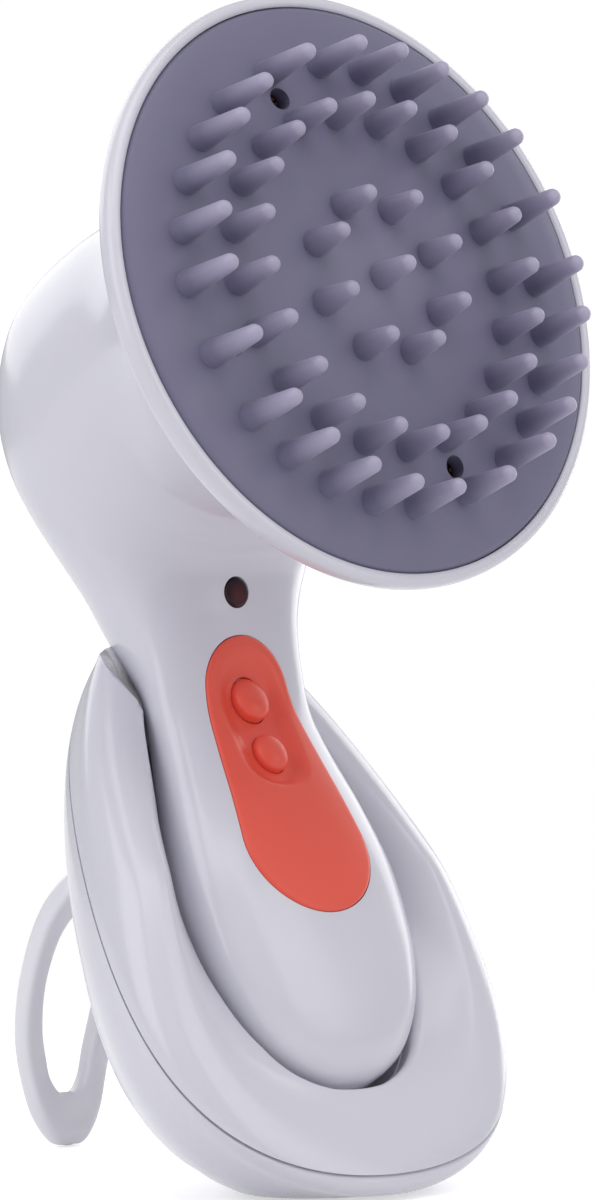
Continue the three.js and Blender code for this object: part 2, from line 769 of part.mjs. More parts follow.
function eggForm(inset) {
  const levels = [...REAR_LEVELS, ...FRONT_LEVELS];
  const top = FRONT_LEVELS[FRONT_LEVELS.length - 1][0] - inset;
  const bottom = REAR_LEVELS[0][0] + inset;
  const kept = levels.filter(([height]) => height < top && height > bottom);
  const ends = [bottom, top].map((height) => [height, along(levels, height, 1)]);
  return solid(loft([ends[0], ...kept, ends[1]].map(([height, scale]) => eggRing(scale, height, inset))));
}

// The cradle follows the handle's back and opens straight out of the rim.
function cradleForm(clearance) {
  const rings = [];
  const out = 60;
  const rows = [
    [104, 0, 6.1, 18.8],
    [94.8, 0, 5.3, 16.9],
    [86.8, 0, 5.2, 15.6],
    ...HANDLE,
  ];
  for (const [height, front, back, half] of rows) {
    const middle = height > HANDLE[0][0] ? back + 14 : front - HANDLE_SPLIT * (front - back);
    const shoulder = HANDLE.find((row) => row[0] < 20)[0];
    const near = Math.max(0, (shoulder - height) / (shoulder - TIP[0]));
    const ring = [new THREE.Vector3(half + clearance, height - clearance * near ** 0.5, out)];
    for (let i = 0; i <= 14; i++) {
      const turn = (Math.PI * i) / 14;
      const x = (half + clearance) * Math.cos(turn);
      const z = middle - (middle - back + clearance) * Math.sin(turn);
      ring.push(new THREE.Vector3(x, height - clearance * near ** 0.5, z));
    }
    ring.push(new THREE.Vector3(-half - clearance, height - clearance * near ** 0.5, out));
    rings.push(ring);
  }
  return solid(loft(rings));
}

// The dish between the rim's crest and the handle
function dishForm(grow) {
  return solid(loft(DISH_LEVELS.map(([height, scale]) => eggRing(scale, height - grow, -grow))));
}

function seamAt(height) {
  return SEAM[0] + ((SEAM[1] - SEAM[0]) * height) / EGG_LENGTH;
}

// Everything on one side of the split between the stand's shells
function seamSide(front) {
  const tilt = Math.atan((SEAM[1] - SEAM[0]) / EGG_LENGTH);
  const block = front ? [GAP / 2, 60] : [-60, -GAP / 2];
  const low = new THREE.Vector3(-60, -30, block[0]);
  const high = new THREE.Vector3(60, 140, block[1]);
  return solid(box(low, high).rotateX(tilt).translate(0, 0, SEAM[0]));
}

function overGround(height) {
  const block = box(new THREE.Vector3(-80, -80, height), new THREE.Vector3(80, 120, 200));
  return solid(block.applyMatrix4(worldInStand));
}

const BOSS_RADIUS = 2.4;
const BOSS_DEPTH = 6.4;
const PIN_RANGE = 0.6;
const CONTACT_PIN_RADIUS = 1.05;
const PIN_LOW = -13.9;

function standFrontShell() {
  const egg = eggForm(0);
  const above = seamSide(true);
  let body = egg.subtract(eggForm(STAND_WALL)).intersect(above);
  for (const [x, y] of STAND_SCREWS) {
    body = body.add(solid(post(BOSS_RADIUS, 0, 11, x, y)).intersect(egg).intersect(above));
  }
  const room = eggForm(STAND_WALL + 2 * GAP).add(egg.intersect(above));
  body = body.add(dishForm(STAND_WALL).add(cradleForm(CRADLE_CLEARANCE + STAND_WALL)).intersect(room));
  body = body.subtract(cradleForm(CRADLE_CLEARANCE)).subtract(dishForm(0));
  for (const [x, y] of STAND_SCREWS) {
    body = body.subtract(solid(post(SCREW_PILOT, 0, seamAt(y) + 2.6, x, y, 12)));
  }
  for (const side of [-1, 1]) {
    body = body.subtract(solid(post(1.4, -14, 4, side * CONTACT_SPREAD, CONTACT_HEIGHT, 14)));
  }
  return body;
}

function hingePlace() {
  return HINGE.clone().applyMatrix4(worldInStand);
}

function ear(side) {
  const { y, z } = hingePlace();
  const low = side * (KICK_TOP_HALF + GAP);
  const high = side * (KICK_TOP_HALF + GAP + EAR_THICKNESS);
  const web = box(
    new THREE.Vector3(Math.min(low, high), y - BARREL_RADIUS, z),
    new THREE.Vector3(Math.max(low, high), y + BARREL_RADIUS, z + 8),
  );
  const round = acrossPost(BARREL_RADIUS, low, high).translate(0, y, z);
  return solid(web).add(solid(round));
}

// A cylinder along X between two places
function acrossPost(radius, from, to, sides = 24) {
  return new THREE.CylinderGeometry(radius, radius, Math.abs(to - from), sides)
    .rotateZ(Math.PI / 2)
    .translate((from + to) / 2, 0, 0);
}

function footShape(margin) {
  const half = FOOT_WIDTH / 2 + margin;
  const reach = FOOT_LENGTH / 2 - FOOT_WIDTH / 2;
  const shape = new THREE.Shape();
  shape.absarc(reach, 0, half, -Math.PI / 2, Math.PI / 2, false);
  shape.absarc(-reach, 0, half, Math.PI / 2, 1.5 * Math.PI, false);
  return shape;
}

function standRearShell() {
  const egg = eggForm(0).intersect(overGround(BASE_FLAT));
  const hollow = eggForm(STAND_WALL).intersect(overGround(BASE_FLAT + STAND_WALL));
  const below = seamSide(false);
  const { y, z } = hingePlace();
  let body = egg.subtract(hollow).intersect(below);
  for (const [x, yy] of STAND_SCREWS) {
    body = body.add(solid(post(BOSS_RADIUS, -20, 12, x, yy)).intersect(egg).intersect(below));
  }
  const collar = post(INLET_RADIUS + GAP + 1.4, ...INLET_COLLAR, 0, INLET_HEIGHT, 28);
  body = body.add(solid(collar).intersect(egg));
  for (const side of [-1, 1]) {
    body = body.add(ear(side).subtract(hollow));
  }
  const reach = KICK_TOP_HALF + GAP;
  body = body.subtract(solid(acrossPost(BARREL_RADIUS + 2 * GAP, -reach, reach).translate(0, y, z)));
  body = body.subtract(solid(acrossPost(PIN_RADIUS + GAP, -30, 30, 20).translate(0, y, z)));
  for (const [x, yy] of STAND_SCREWS) {
    body = body.subtract(solid(post(SCREW_PILOT, -20, 12, x, yy, 12)));
    body = body.subtract(solid(post(SCREW_WELL, -20, -BOSS_DEPTH, x, yy, 18)));
  }
  body = body.subtract(solid(post(INLET_RADIUS + GAP, -30, INLET_SEAT, 0, INLET_HEIGHT, 28)));
  const pocket = prism(footShape(GAP), 0, FOOT_THICKNESS + GAP).applyMatrix4(worldInStand);
  return body.subtract(solid(pocket));
}

function standScrew([x, y]) {
  const head = solid(post(SCREW_HEAD, -BOSS_DEPTH - 1.6 - GAP, -BOSS_DEPTH - GAP, x, y, 16));
  return head.add(solid(post(SCREW_SHANK, -BOSS_DEPTH - 1, seamAt(y) + 2.2, x, y, 12)));
}

const STAND_BOARD_TOP = -15.4;
const STAND_BOARD_THICKNESS = 1.1;
const STAND_BOARD_HALF_WIDTH = 9;
const STAND_BOARD_ENDS = [-2.6, 16.8]; // from the contact pins

function standBoard() {
  const [low, high] = STAND_BOARD_ENDS.map((end) => CONTACT_HEIGHT + end);
  const half = STAND_BOARD_HALF_WIDTH;
  const foot = new THREE.Vector3(-half, low, STAND_BOARD_TOP - STAND_BOARD_THICKNESS);
  return solid(box(foot, new THREE.Vector3(half, high, STAND_BOARD_TOP)));
}

function pinBarrel(side) {
  const x = side * CONTACT_SPREAD;
  const low = STAND_BOARD_TOP + GAP;
  const high = PIN_LOW + 1.3;
  const tube = solid(post(1.9, low, high, x, CONTACT_HEIGHT, 18));
  const bore = post(CONTACT_PIN_RADIUS + GAP, PIN_LOW - PIN_RANGE - GAP, high + 1, x, CONTACT_HEIGHT, 18);
  return tube.subtract(solid(bore));
}

function contactPin(side) {
  const top = backAt(CONTACT_HEIGHT, CONTACT_SPREAD);
  return solid(post(CONTACT_PIN_RADIUS, PIN_LOW, top, side * CONTACT_SPREAD, CONTACT_HEIGHT, 16));
}

function inletSocket() {
  const face = INLET_FACE;
  const body = solid(post(INLET_RADIUS, face, face + INLET_LENGTH - 1.5, 0, INLET_HEIGHT, 28));
  const bore = solid(post(INLET_BORE, face - 1, face + INLET_LENGTH - 3, 0, INLET_HEIGHT, 20));
  return body.subtract(bore).add(solid(post(0.6, face + 0.8, face + INLET_LENGTH - 2, 0, INLET_HEIGHT, 10)));
}

function baseFoot() {
  return solid(prism(footShape(0), 0, FOOT_THICKNESS));
}

// Kickstand, in a frame at the hinge with the object's own axes
function kickSide() {
  const curve = new THREE.SplineCurve(KICK_CURVE.map(([y, z]) => new THREE.Vector2(y, z)));
  const left = [];
  const right = [];
  for (let i = 0; i <= 24; i++) {
    const point = curve.getPoint(i / 24);
    const tangent = curve.getTangent(i / 24);
    const side = new THREE.Vector2(-tangent.y, tangent.x).multiplyScalar(KICK_THICKNESS / 2);
    left.push(point.clone().add(side));
    right.push(point.clone().sub(side));
  }
  const shape = new THREE.Shape([...left, ...right.reverse()]);
  // the shape lies in (y, z), and its depth becomes x
  return prism(shape, -20, 20).applyMatrix4(
    new THREE.Matrix4().set(0, 0, 1, 0, 1, 0, 0, 0, 0, 1, 0, 0, 0, 0, 0, 1),
  );
}

function kickFront() {
  const drop = -HINGE.z + KICK_PAD_PROUD;
  const round = 3.6;
  const outline = new THREE.Shape();
  outline.moveTo(KICK_TOP_HALF, 3);
  outline.lineTo(-KICK_TOP_HALF, 3);
  outline.lineTo(-KICK_FOOT_HALF, drop + round);
  outline.quadraticCurveTo(-KICK_FOOT_HALF + 0.2, drop, -KICK_FOOT_HALF + round, drop);
  outline.lineTo(KICK_FOOT_HALF - round, drop);
  outline.quadraticCurveTo(KICK_FOOT_HALF - 0.2, drop, KICK_FOOT_HALF, drop + round);
  const hole = new THREE.Path();
  const [top, foot] = [KICK_TOP_HALF - KICK_STRAND, KICK_FOOT_HALF - KICK_STRAND];
  hole.absarc(0, drop + KICK_CROSSBAR + foot, foot, Math.PI, 2 * Math.PI, false);
  hole.lineTo(top, -6 - top / 2);
  hole.quadraticCurveTo(top, -6, top / 2, -6);
  hole.lineTo(-top / 2, -6);
  hole.quadraticCurveTo(-top, -6, -top, -6 - top / 2);
  outline.holes.push(hole);
  return prism(outline, -10, 30).rotateX(Math.PI / 2).translate(0, 20, 0);
}

function kickstand() {
  const barrel = solid(acrossPost(BARREL_RADIUS, -KICK_TOP_HALF, KICK_TOP_HALF));
  const loop = solid(kickSide()).intersect(solid(kickFront()));
  const bore = solid(acrossPost(PIN_RADIUS + GAP, -20, 20, 20));
  return loop.add(barrel).subtract(bore).subtract(kickstandPad(GAP));
}

function kickstandPad(margin) {
  const middle = KICK_CURVE[KICK_CURVE.length - 1][0] + 0.25;
  const [x, y] = KICK_PAD_HALF.map((half) => half + margin);
  const low = new THREE.Vector3(-x, middle - y, -HINGE.z);
  return solid(box(low, new THREE.Vector3(x, middle + y, -HINGE.z + KICK_PAD + margin)));
}

function hingePin() {
  const reach = KICK_TOP_HALF + GAP + EAR_THICKNESS;
  return solid(acrossPost(PIN_RADIUS, -reach, reach, 20));
}

// Materials
function plastic(color, roughness, metalness = 0) {
  return new THREE.MeshStandardMaterial({ color, roughness, metalness });
}

const whiteGloss = plastic(0xe9eaf1, 0.15);
const silicone = plastic(0x8d8a9b, 0.55);
const softOrange = plastic(0xe8604a, 0.5);
const darkRed = plastic(0x4a1018, 0.2);
const paleRubber = plastic(0xd2d3d8, 0.7);
const blackPlastic = plastic(0x2a2a2c, 0.5);
const metal = plastic(0xc2c4c8, 0.3, 1);
const copper = plastic(0xc9a253, 0.3, 1);
const boardGreen = plastic(0x2f6b45, 0.6);
const greyPlastic = plastic(0x8e9095, 0.5);
const cellSleeve = plastic(0x4c7a8c, 0.4);

function mesh(name, body, material) {
  const made = new THREE.Mesh(geometryOf(body), material);
  made.name = name;
  return made;
}

function buildHead() {
  const head = new THREE.Group();
  head.applyMatrix4(headInStand);
  head.add(mesh("head_skirt", headSkirt(), whiteGloss));
  head.add(mesh("massage_pad", massagePad(), silicone));
  head.add(mesh("pad_carrier", padCarrier(), greyPlastic));
  head.add(mesh("motor_bracket", motorBracket(), greyPlastic));
  head.add(mesh("motor", motorCan(), metal));
  head.add(mesh("eccentric_weight", eccentricWeight(), metal));
  screwMarks().forEach(([x, y], i) => {
    const screw = mesh("pad_screw_" + (i + 1), padScrew(), metal);
    screw.position.set(x, y, 0);
    head.add(screw);
  });
  return head;
}

function buildHandle() {
  const handle = new THREE.Group();
  handle.add(mesh("handset_shell", handsetShell(), whiteGloss));
  handle.add(mesh("rear_cover", rearCover(), whiteGloss));
  handle.add(mesh("grip_panel", gripPanel(), softOrange));
  handle.add(mesh("indicator_lens", indicatorLens(), darkRed));
  handle.add(mesh("indicator_lamp", indicatorLamp(), darkRed));
  handle.add(mesh("circuit_board", circuitBoard(), boardGreen));
  handle.add(mesh("battery_cradle", batteryCradle(), greyPlastic));
  for (const spec of BUTTONS) {
    handle.add(mesh(spec.name + "_button", button(spec), softOrange));
    handle.add(mesh(spec.name + "_switch", tactSwitch(spec), metal));
  }
  [-1, 1].forEach((side, i) => {
    handle.add(mesh("battery_cell_" + (i + 1), batteryCell(side), cellSleeve));
    handle.add(mesh("charge_contact_" + (i + 1), chargeContact(side), copper));
  });
  coverScrews.forEach((height, i) => {
    handle.add(mesh("cover_screw_" + (i + 1), coverScrew(height), metal));
  });
  return handle;
}

function buildStand() {
  const stand = new THREE.Group();
  stand.add(mesh("stand_front_shell", standFrontShell(), whiteGloss));
  stand.add(mesh("stand_rear_shell", standRearShell(), whiteGloss));
  stand.add(mesh("stand_board", standBoard(), boardGreen));
  stand.add(mesh("inlet_socket", inletSocket(), blackPlastic));
  STAND_SCREWS.forEach((place, i) => {
    stand.add(mesh("stand_screw_" + (i + 1), standScrew(place), metal));
  });
  [-1, 1].forEach((side, i) => {
    stand.add(mesh("pin_barrel_" + (i + 1), pinBarrel(side), copper));
    stand.add(mesh("contact_pin_" + (i + 1), contactPin(side), copper));
  });
  return stand;
}

function buildKickstand() {
  const group = new THREE.Group();
  group.position.copy(HINGE);
  group.add(mesh("kickstand", kickstand(), whiteGloss));
  group.add(mesh("kickstand_pad", kickstandPad(0), paleRubber));
  group.add(mesh("hinge_pin", hingePin(), metal));
  return group;
}

const massager = new THREE.Group();
const rim = new THREE.Group();
rim.applyMatrix4(standFrame);
rim.add(buildHead(), buildHandle(), buildStand());
massager.add(rim, buildKickstand(), mesh("base_foot", baseFoot(), paleRubber));

export default massager;
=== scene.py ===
"""Looks of a scalp massager: a handset with a pad of soft fingers, resting in an egg-shaped charging stand.

Shapes are worked out in millimetres in the part's own frame, and become metres where a mesh is made.
"""
import math

import bmesh
import bpy
import numpy as np
from mathutils import Euler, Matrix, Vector
from mathutils.bvhtree import BVHTree


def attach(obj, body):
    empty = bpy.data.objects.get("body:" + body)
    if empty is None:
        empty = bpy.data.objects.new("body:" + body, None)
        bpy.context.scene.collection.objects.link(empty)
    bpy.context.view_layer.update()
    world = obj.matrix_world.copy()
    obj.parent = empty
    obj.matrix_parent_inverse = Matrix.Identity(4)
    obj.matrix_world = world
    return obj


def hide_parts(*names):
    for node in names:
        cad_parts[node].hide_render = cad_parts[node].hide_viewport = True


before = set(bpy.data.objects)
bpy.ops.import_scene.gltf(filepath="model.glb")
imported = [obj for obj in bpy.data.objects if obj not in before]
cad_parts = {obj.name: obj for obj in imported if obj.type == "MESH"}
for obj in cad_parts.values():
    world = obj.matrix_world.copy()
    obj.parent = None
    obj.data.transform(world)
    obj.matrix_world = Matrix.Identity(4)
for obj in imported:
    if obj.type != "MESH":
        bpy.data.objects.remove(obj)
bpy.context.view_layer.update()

METRE = 0.001
WELD = 2e-6  # metres, below which two points become one

# Camera of the photograph, in metres and degrees
CAMERA_PLACE = (-0.4870, -0.5627, 0.1039)
CAMERA_TURN = (88.757, -0.511, -40.527)
CAMERA_LENS = 150

# Places, as in the part
RIM_LEAN = 38
HEAD_LEAN = 17
RIM_BOTTOM = np.array([0, -13, 1.2])
PAD_CENTRE = np.array([0, -8, 134.5])
GAP = 0.3
SKIRT_DEPTH = 14
PIVOT_DEPTH = 33
PIVOT_DROP = 36
WALL = 2.4

# Flare: depth behind the pad's plane and radius
FLARE = [[2.6, 46], [4.4, 45.4], [7, 42.6], [10, 39], [14, 35], [19, 31], [25, 27.8], [33, 26]]

# Neck: turn in degrees, pivot to front wall, pivot to back wall, half width
TURN = [
    [13, 9.4, 63.4, 26],
    [26, 8.6, 65.4, 26],
    [34, 8.3, 64.2, 25.8],
    [42, 8, 60.4, 25.2],
    [50, 8, 53.6, 24.2],
    [58, 8, 45.4, 22.7],
    [67, 8, 38.6, 20.8],
    [80, 8, 33, 18.4],
    [95, 8.4, 30.4, 16.6],
    [110, 9.4, 29.2, 15.2],
]

# Handle: height along the stand, front, back, half width
HANDLE = [
    [81.2, 22.6, 5.3, 14.4],
    [74.2, 19.9, 2.5, 14.5],
    [67.2, 19.2, -0.6, 15.6],
    [57.2, 18.8, -4.2, 17.8],
    [47.2, 17.8, -7, 19.4],
    [37.2, 16.1, -9, 18.9],
    [31.2, 14.6, -9, 17.6],
    [26.2, 12.8, -8.2, 15.8],
    [22.2, 10.8, -6.6, 13.4],
    [19.2, 9, -4.6, 10.6],
    [17.2, 7.2, -2.4, 7.4],
    [16, 5.2, -0.4, 4.2],
]
TIP_ROWS = [[15.6, 3.8, 1, 2], [15.5, 2.5, 2.3, 0.1]]
ROUND_SPLIT = 0.5
HANDLE_SPLIT = 0.33
HANDLE_SQUARE = 2.6

# Pad and fingers
PAD_RADIUS = 43.9
PAD_BACK = 2.6
PAD_CROWN = 4
PAD_ROUND = 4
FINGER_ROOT = 2.05
FINGER_TIP = 1.3
# ring radius, finger length, degrees from each quarter mark
FINGER_RINGS = [
    (34.1, 11, [0, 18, 31.5, 45, 58.5, 72]),
    (25.6, 9.2, [0, 18, 36, 54, 72]),
    (11.75, 7.4, [0, 45]),
]
CENTRE_FINGER = 7.4
QUARTER_MARK = 110
SCREW_RING = 30
SCREW_HOLE = 1.75

# Grip panel, buttons and lamp
PANEL_TOP = 83.9
PANEL_BOTTOM = 38.4
PANEL_TOP_RADIUS = 8
PANEL_BOTTOM_RADIUS = 11.6
PANEL_PROUD = 0.35
PANEL_DEPTH = 1.4
SKIN_FIT = 0.12
PANEL_BEDDING = 0.4
PANEL_FLOOR = 8
# height on the handle and radius
BUTTONS = {"power_button": (74.8, 3.1), "mode_button": (65.5, 2.75)}
BUTTON_PROUD = 1.3
BUTTON_RISE = 1.9
BUTTON_SQUARE = 2.3
BUTTON_SKIRT = 2.9
BUTTON_SLIT = 0.05
BUTTON_STRETCH = 1.18
STEM_RADIUS = 1.6
STEM_DEPTH = 4.4
DIMPLE_DEPTH = 1.25
DIMPLE_EDGE = 3.4
DIMPLE_MARGIN = 0.5
DIMPLE_ENDS = (1.2, 0.6)
DIMPLE_STEEP = 0.4
LENS_RADIUS = 2.3
LENS_DEPTH = 2.3
LENS_CROWN = 0.42
LENS_WELL = (-2, 6)
LENS_PLACE = np.array([0, 89.7, 27])
LENS_TURN = 28

# Rear cover and contacts
COVER_ENDS = (39.2, 72.2)
COVER_HALF_WIDTH = 10.5
COVER_LID = 9
COVER_SCREW_INSET = 4
SCREW_WELL = 2.1
CONTACT_HEIGHT = 29.2
CONTACT_SPREAD = 6
CONTACT_RADIUS = 2
CONTACT_DEPTH = 3
CONTACT_WELL = (-12, -4)
PIN_TIP = 1.05
PIN_HOLE = 1.4
PIN_FOOT = -13.9

# Reach of the shapes that only cut
AHEAD = 45
BEHIND = -15
FAR_BEHIND = -30
ASIDE = 60
ALONG = (-30, 140)
RAY_START = 33

# Stand
EGG_LENGTH = 99.8
EGG_MIDDLE = 48.2
EGG_HALF_WIDTH = 32
EGG_TAPER = -0.29
EGG_FULLNESS = 0.175
EGG_LIFT = 1.2
EGG_TILT = 0.089
EGG_BOW = -2.7
EGG_FOLD = 0.004
STAND_WALL = 2.2
# rings of the egg: height over its plane and share of the full outline
REAR_LEVELS = [[-22.9, 0.01], [-22.8, 0.1], [-22.4, 0.22], [-21.3, 0.38], [-18.3, 0.61], [-14, 0.79],
               [-9.5, 0.9], [-5, 0.97]]
FRONT_LEVELS = [[0, 1], [4, 1.012], [7, 0.992], [9.2, 0.947], [10.4, 0.895]]
CREST_LEVELS = [[11, 0.85], [11.2, 0.81]]
ROOM_LEVEL = [11.2, 0.8]
RIM_WEDGE = 0.57
REAR_WEDGE = 0.15
# height of the seam at the egg's foot and at its top
SEAM = (4.65, 0.56)
SEAM_GAP = 0.4

# How far the dish drops from the crest to the bay's edge, from -1 at the egg's foot to 1 at its top
DISH_DROP = [[-1, 0.5], [-0.6, 2.5], [-0.2, 5.1], [0, 6], [0.25, 5], [0.5, 2.5], [0.75, 1], [1, 1]]
DISH_TOP = 85
# value in the lower half, and what the upper half adds to it
DISH_POWER = (1.6, 0.7)
DISH_END = (0.84, -0.4)
UPPER_RISE = 1.5
BAY_SHARE = 0.86
BAY_RIM = 0.5
BAY_EDGE = 1.3
BAY_ROLL = 3
BAY_SKIRT = 2
BAY_SKIM = 0.02
# height on the handle, with the radius of the bay's edge there, and with the top of that edge
BAY_FLARE = [[15, 0], [74, 0], [80, 2], [86, 5], [92, 7], [104, 8]]
BAY_FLARE_TOP = [[15, 14], [74, 14], [80, 13.9], [86, 13.1], [92, 12.6], [104, 12.6]]
CRADLE_CLEARANCE = 1.1
CRADLE_TOP = [[104, 0, 6.1, 16.8], [94.8, 0, 5.3, 15.7], [86.8, 0, 5.2, 14.7]]
CRADLE_TOP_MIDDLE = 11.6
BAY_SHOULDER = 22.2
BASE_FLAT = 0.8
STAND_SCREWS = [(23.6, 50), (-23.6, 50), (20, 13), (-20, 13)]
BOSS_DEPTH = 6.4
BOSS_RADIUS = 2.4
BOSS_ENDS = (-20, 4)
SCREW_SINK = 1.9
INLET_HEIGHT = 56
INLET_RADIUS = 4
INLET_FACE = -18.9
INLET_WALL = 1.7
INLET_BOSS_END = -10.2
INLET_WELL_END = -11.6
FOOT_SIZE = (26, 9, 1.6)

# Materials: scales of the noise, and the part of its range that is used
COLOUR_DRIFT = 60
GLOSS_DRIFT = 240
NOISE_RANGE = (0.3, 0.7)
COAT_ROUGHNESS = 0.14

# Kickstand, from its hinge
HINGE = np.array([0, 47, 46.5])
KICK_CURVE = [[0, 0], [4.8, -4.4], [9.8, -10.6], [13.8, -20], [15.6, -28], [15.9, -34], [15.4, -40],
              [14.4, -46.5]]
KICK_THICKNESS = 4
KICK_SQUARE = 0.55
KICK_RIDGE = 0.38
KICK_RIDGE_FALL = 0.28
KICK_TOP_HALF = 7.2
BARREL_RADIUS = 2
EAR_THICKNESS = 2.4
EAR_WEB = 8
PIN_RADIUS = 1.2
PIN_FIT = 0.15
KICK_PAD_HALF = (1.1, 0.6)
KICK_PAD_TOP = 1.6
KICK_PAD_PROUD = 0.12
KICK_PAD_FIT = 0.15
KICK_PAD_SHIFT = 0.25


def axes(lean):
    """The x, y and z ways of a frame whose y way leans back from upright by that many degrees."""
    s, c = math.sin(math.radians(lean)), math.cos(math.radians(lean))
    return np.array([[1, 0, 0], [0, s, c], [0, -c, s]])


STAND_AXES = axes(RIM_LEAN)
HEAD_AXES = axes(HEAD_LEAN)


def from_stand(points):
    return RIM_BOTTOM + np.asarray(points, float) @ STAND_AXES


def to_stand(points):
    return (np.asarray(points, float) - RIM_BOTTOM) @ STAND_AXES.T


def from_head(points):
    return PAD_CENTRE + np.asarray(points, float) @ HEAD_AXES


def from_hinge(points):
    """From a frame at the hinge whose z way runs along its pin."""
    p = np.asarray(points, float)
    return HINGE + np.column_stack([p[:, 2], p[:, 0], p[:, 1]])


def from_lens(points):
    """From the lens's frame, which is turned about x on the neck."""
    return from_stand(tilted(points, math.radians(LENS_TURN)) + LENS_PLACE)


def same(points):
    return np.asarray(points, float)


def shifted(place, x, y, z, scale=(1, 1, 1)):
    """A frame like another, scaled or turned round by scale and then shifted."""
    return lambda points: place(np.asarray(points, float) * scale + [x, y, z])


def tilted(points, angle):
    """The points turned about the x way."""
    s, c = math.sin(angle), math.cos(angle)
    return np.asarray(points, float) @ np.array([[1, 0, 0], [0, c, s], [0, -s, c]])


def around(count):
    """That many turns, all the way round."""
    return np.linspace(0, 2 * math.pi, count, endpoint=False)


def clamped(value):
    return min(max(value, 0), 1)


def eased(share):
    """From 0 to 1 with a level start and end."""
    return share * share * (3 - 2 * share)


def squared(value, power):
    """A sine or cosine raised with its sign kept: the lower the power, the squarer the ring."""
    return np.sign(value) * np.abs(value) ** power


def smooth(stations, steps):
    """Rows on a smooth curve through the stations, with that many steps between two of them."""
    s = np.asarray(stations, float)
    padded = np.vstack([s[:1], s, s[-1:]])
    rows = []
    for i in range(len(s) - 1):
        before, here, there, after = padded[i:i + 4]
        pull, push = (there - before) / 2, (after - here) / 2
        rise = there - here
        for k in range(steps):
            t = k / steps
            rows.append(here + t * (pull + t * (3 * rise - 2 * pull - push + t * (pull + push - 2 * rise))))
    rows.append(s[-1])
    return np.array(rows)


def along(stations, place, column):
    rows = np.array(sorted(stations), float)
    return float(np.interp(place, rows[:, 0], rows[:, column]))


# Meshes
def new_piece(name, points, faces):
    mesh = bpy.data.meshes.new(name)
    mesh.from_pydata((np.asarray(points) * METRE).tolist(), [], faces)
    bm = bmesh.new()
    bm.from_mesh(mesh)
    bmesh.ops.remove_doubles(bm, verts=bm.verts, dist=WELD)
    bmesh.ops.recalc_face_normals(bm, faces=bm.faces)
    bm.to_mesh(mesh)
    bm.free()
    piece = bpy.data.objects.new(name, mesh)
    bpy.context.scene.collection.objects.link(piece)
    return piece


def grid_faces(rows, count, caps):
    """Faces between rings of equal point count, with both ends closed if caps."""
    faces = []
    for r in range(rows - 1):
        for i in range(count):
            j = (i + 1) % count
            faces.append((r * count + i, r * count + j, (r + 1) * count + j, (r + 1) * count + i))
    if caps:
        last = (rows - 1) * count
        faces.append(tuple(range(count)))
        faces.append(tuple(range(last + count - 1, last - 1, -1)))
    return faces


def loft(name, rings, caps=True):
    rings = np.asarray(rings, float)
    rows, count = rings.shape[:2]
    return new_piece(name, rings.reshape(-1, 3), grid_faces(rows, count, caps))


def lathe(name, profile, place, segments=96):
    """A [radius, height] profile turned about the z way of a frame, which place turns into the part's."""
    turns = around(segments)
    rings = [[(r * math.cos(t), r * math.sin(t), z) for t in turns] for r, z in profile]
    return loft(name, [place(ring) for ring in rings])


def block(name, low, high, place):
    x, y, z = zip(low, high)
    corners = [(a, b, c) for c in z for b in y for a in x]
    faces = [(0, 2, 3, 1), (4, 5, 7, 6), (0, 1, 5, 4), (2, 6, 7, 3), (0, 4, 6, 2), (1, 3, 7, 5)]
    return new_piece(name, place(corners), faces)


def slice_of(name, outline, low, high, place):
    """A flat outline of (x, y) points pushed along z."""
    rings = [[(x, y, z) for x, y in outline] for z in (low, high)]
    return loft(name, [place(ring) for ring in rings])


def post(name, radius, low, high, x, y, place, segments=48):
    outline = [(x + radius * math.cos(t), y + radius * math.sin(t)) for t in around(segments)]
    return slice_of(name, outline, low, high, place)


def apply_modifiers(piece):
    graph = bpy.context.evaluated_depsgraph_get()
    made = bpy.data.meshes.new_from_object(piece.evaluated_get(graph))
    piece.modifiers.clear()
    piece.data = made


def combine(piece, operation, *tools):
    for tool in tools:
        modifier = piece.modifiers.new(operation, "BOOLEAN")
        modifier.operation = operation
        modifier.solver = "MANIFOLD"
        modifier.object = tool
    apply_modifiers(piece)
    for tool in tools:
        bpy.data.objects.remove(tool)
    return piece


def cut(piece, *tools):
    return combine(piece, "DIFFERENCE", *tools)


def keep(piece, *tools):
    return combine(piece, "INTERSECT", *tools)


def join(piece, *tools):
    return combine(piece, "UNION", *tools)


def gather(piece, *others):
    """The others' meshes become part of the piece's own, as they are."""
    bm = bmesh.new()
    for source in (piece, *others):
        bm.from_mesh(source.data)
    bm.to_mesh(piece.data)
    bm.free()
    for other in others:
        bpy.data.objects.remove(other)
    return piece


def soften(piece, width, segments=2, angle=40):
    """Rounds the piece's edges."""
    modifier = piece.modifiers.new("bevel", "BEVEL")
    modifier.width = width * METRE
    modifier.segments = segments
    modifier.limit_method = "ANGLE"
    modifier.angle_limit = math.radians(angle)
    apply_modifiers(piece)
    return piece


def dress(piece, body, material, slot, *nodes, crease=35):
    """Shades the piece smooth, gives it its material and body, and hides the nodes that it stands for."""
    piece.data.shade_smooth()
    piece.data.set_sharp_from_angle(angle=math.radians(crease))
    piece.data.materials.clear()
    piece.data.materials.append(material)
    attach(piece, body)
    if nodes:
        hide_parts(*nodes)
    return piece


# Handset forms
def head_spot(depth, rise):
    return to_stand(from_head([0, rise, -depth]))[1:]


def head_way(depth, rise):
    return head_spot(depth, rise) - head_spot(0, 0)


def flare_stations(start):
    rows = [[start, along(FLARE, start, 1)]] + [row for row in FLARE if row[0] > start]
    return [[*head_spot(d, -r), *head_spot(d, r), r, ROUND_SPLIT, 2] for d, r in rows]


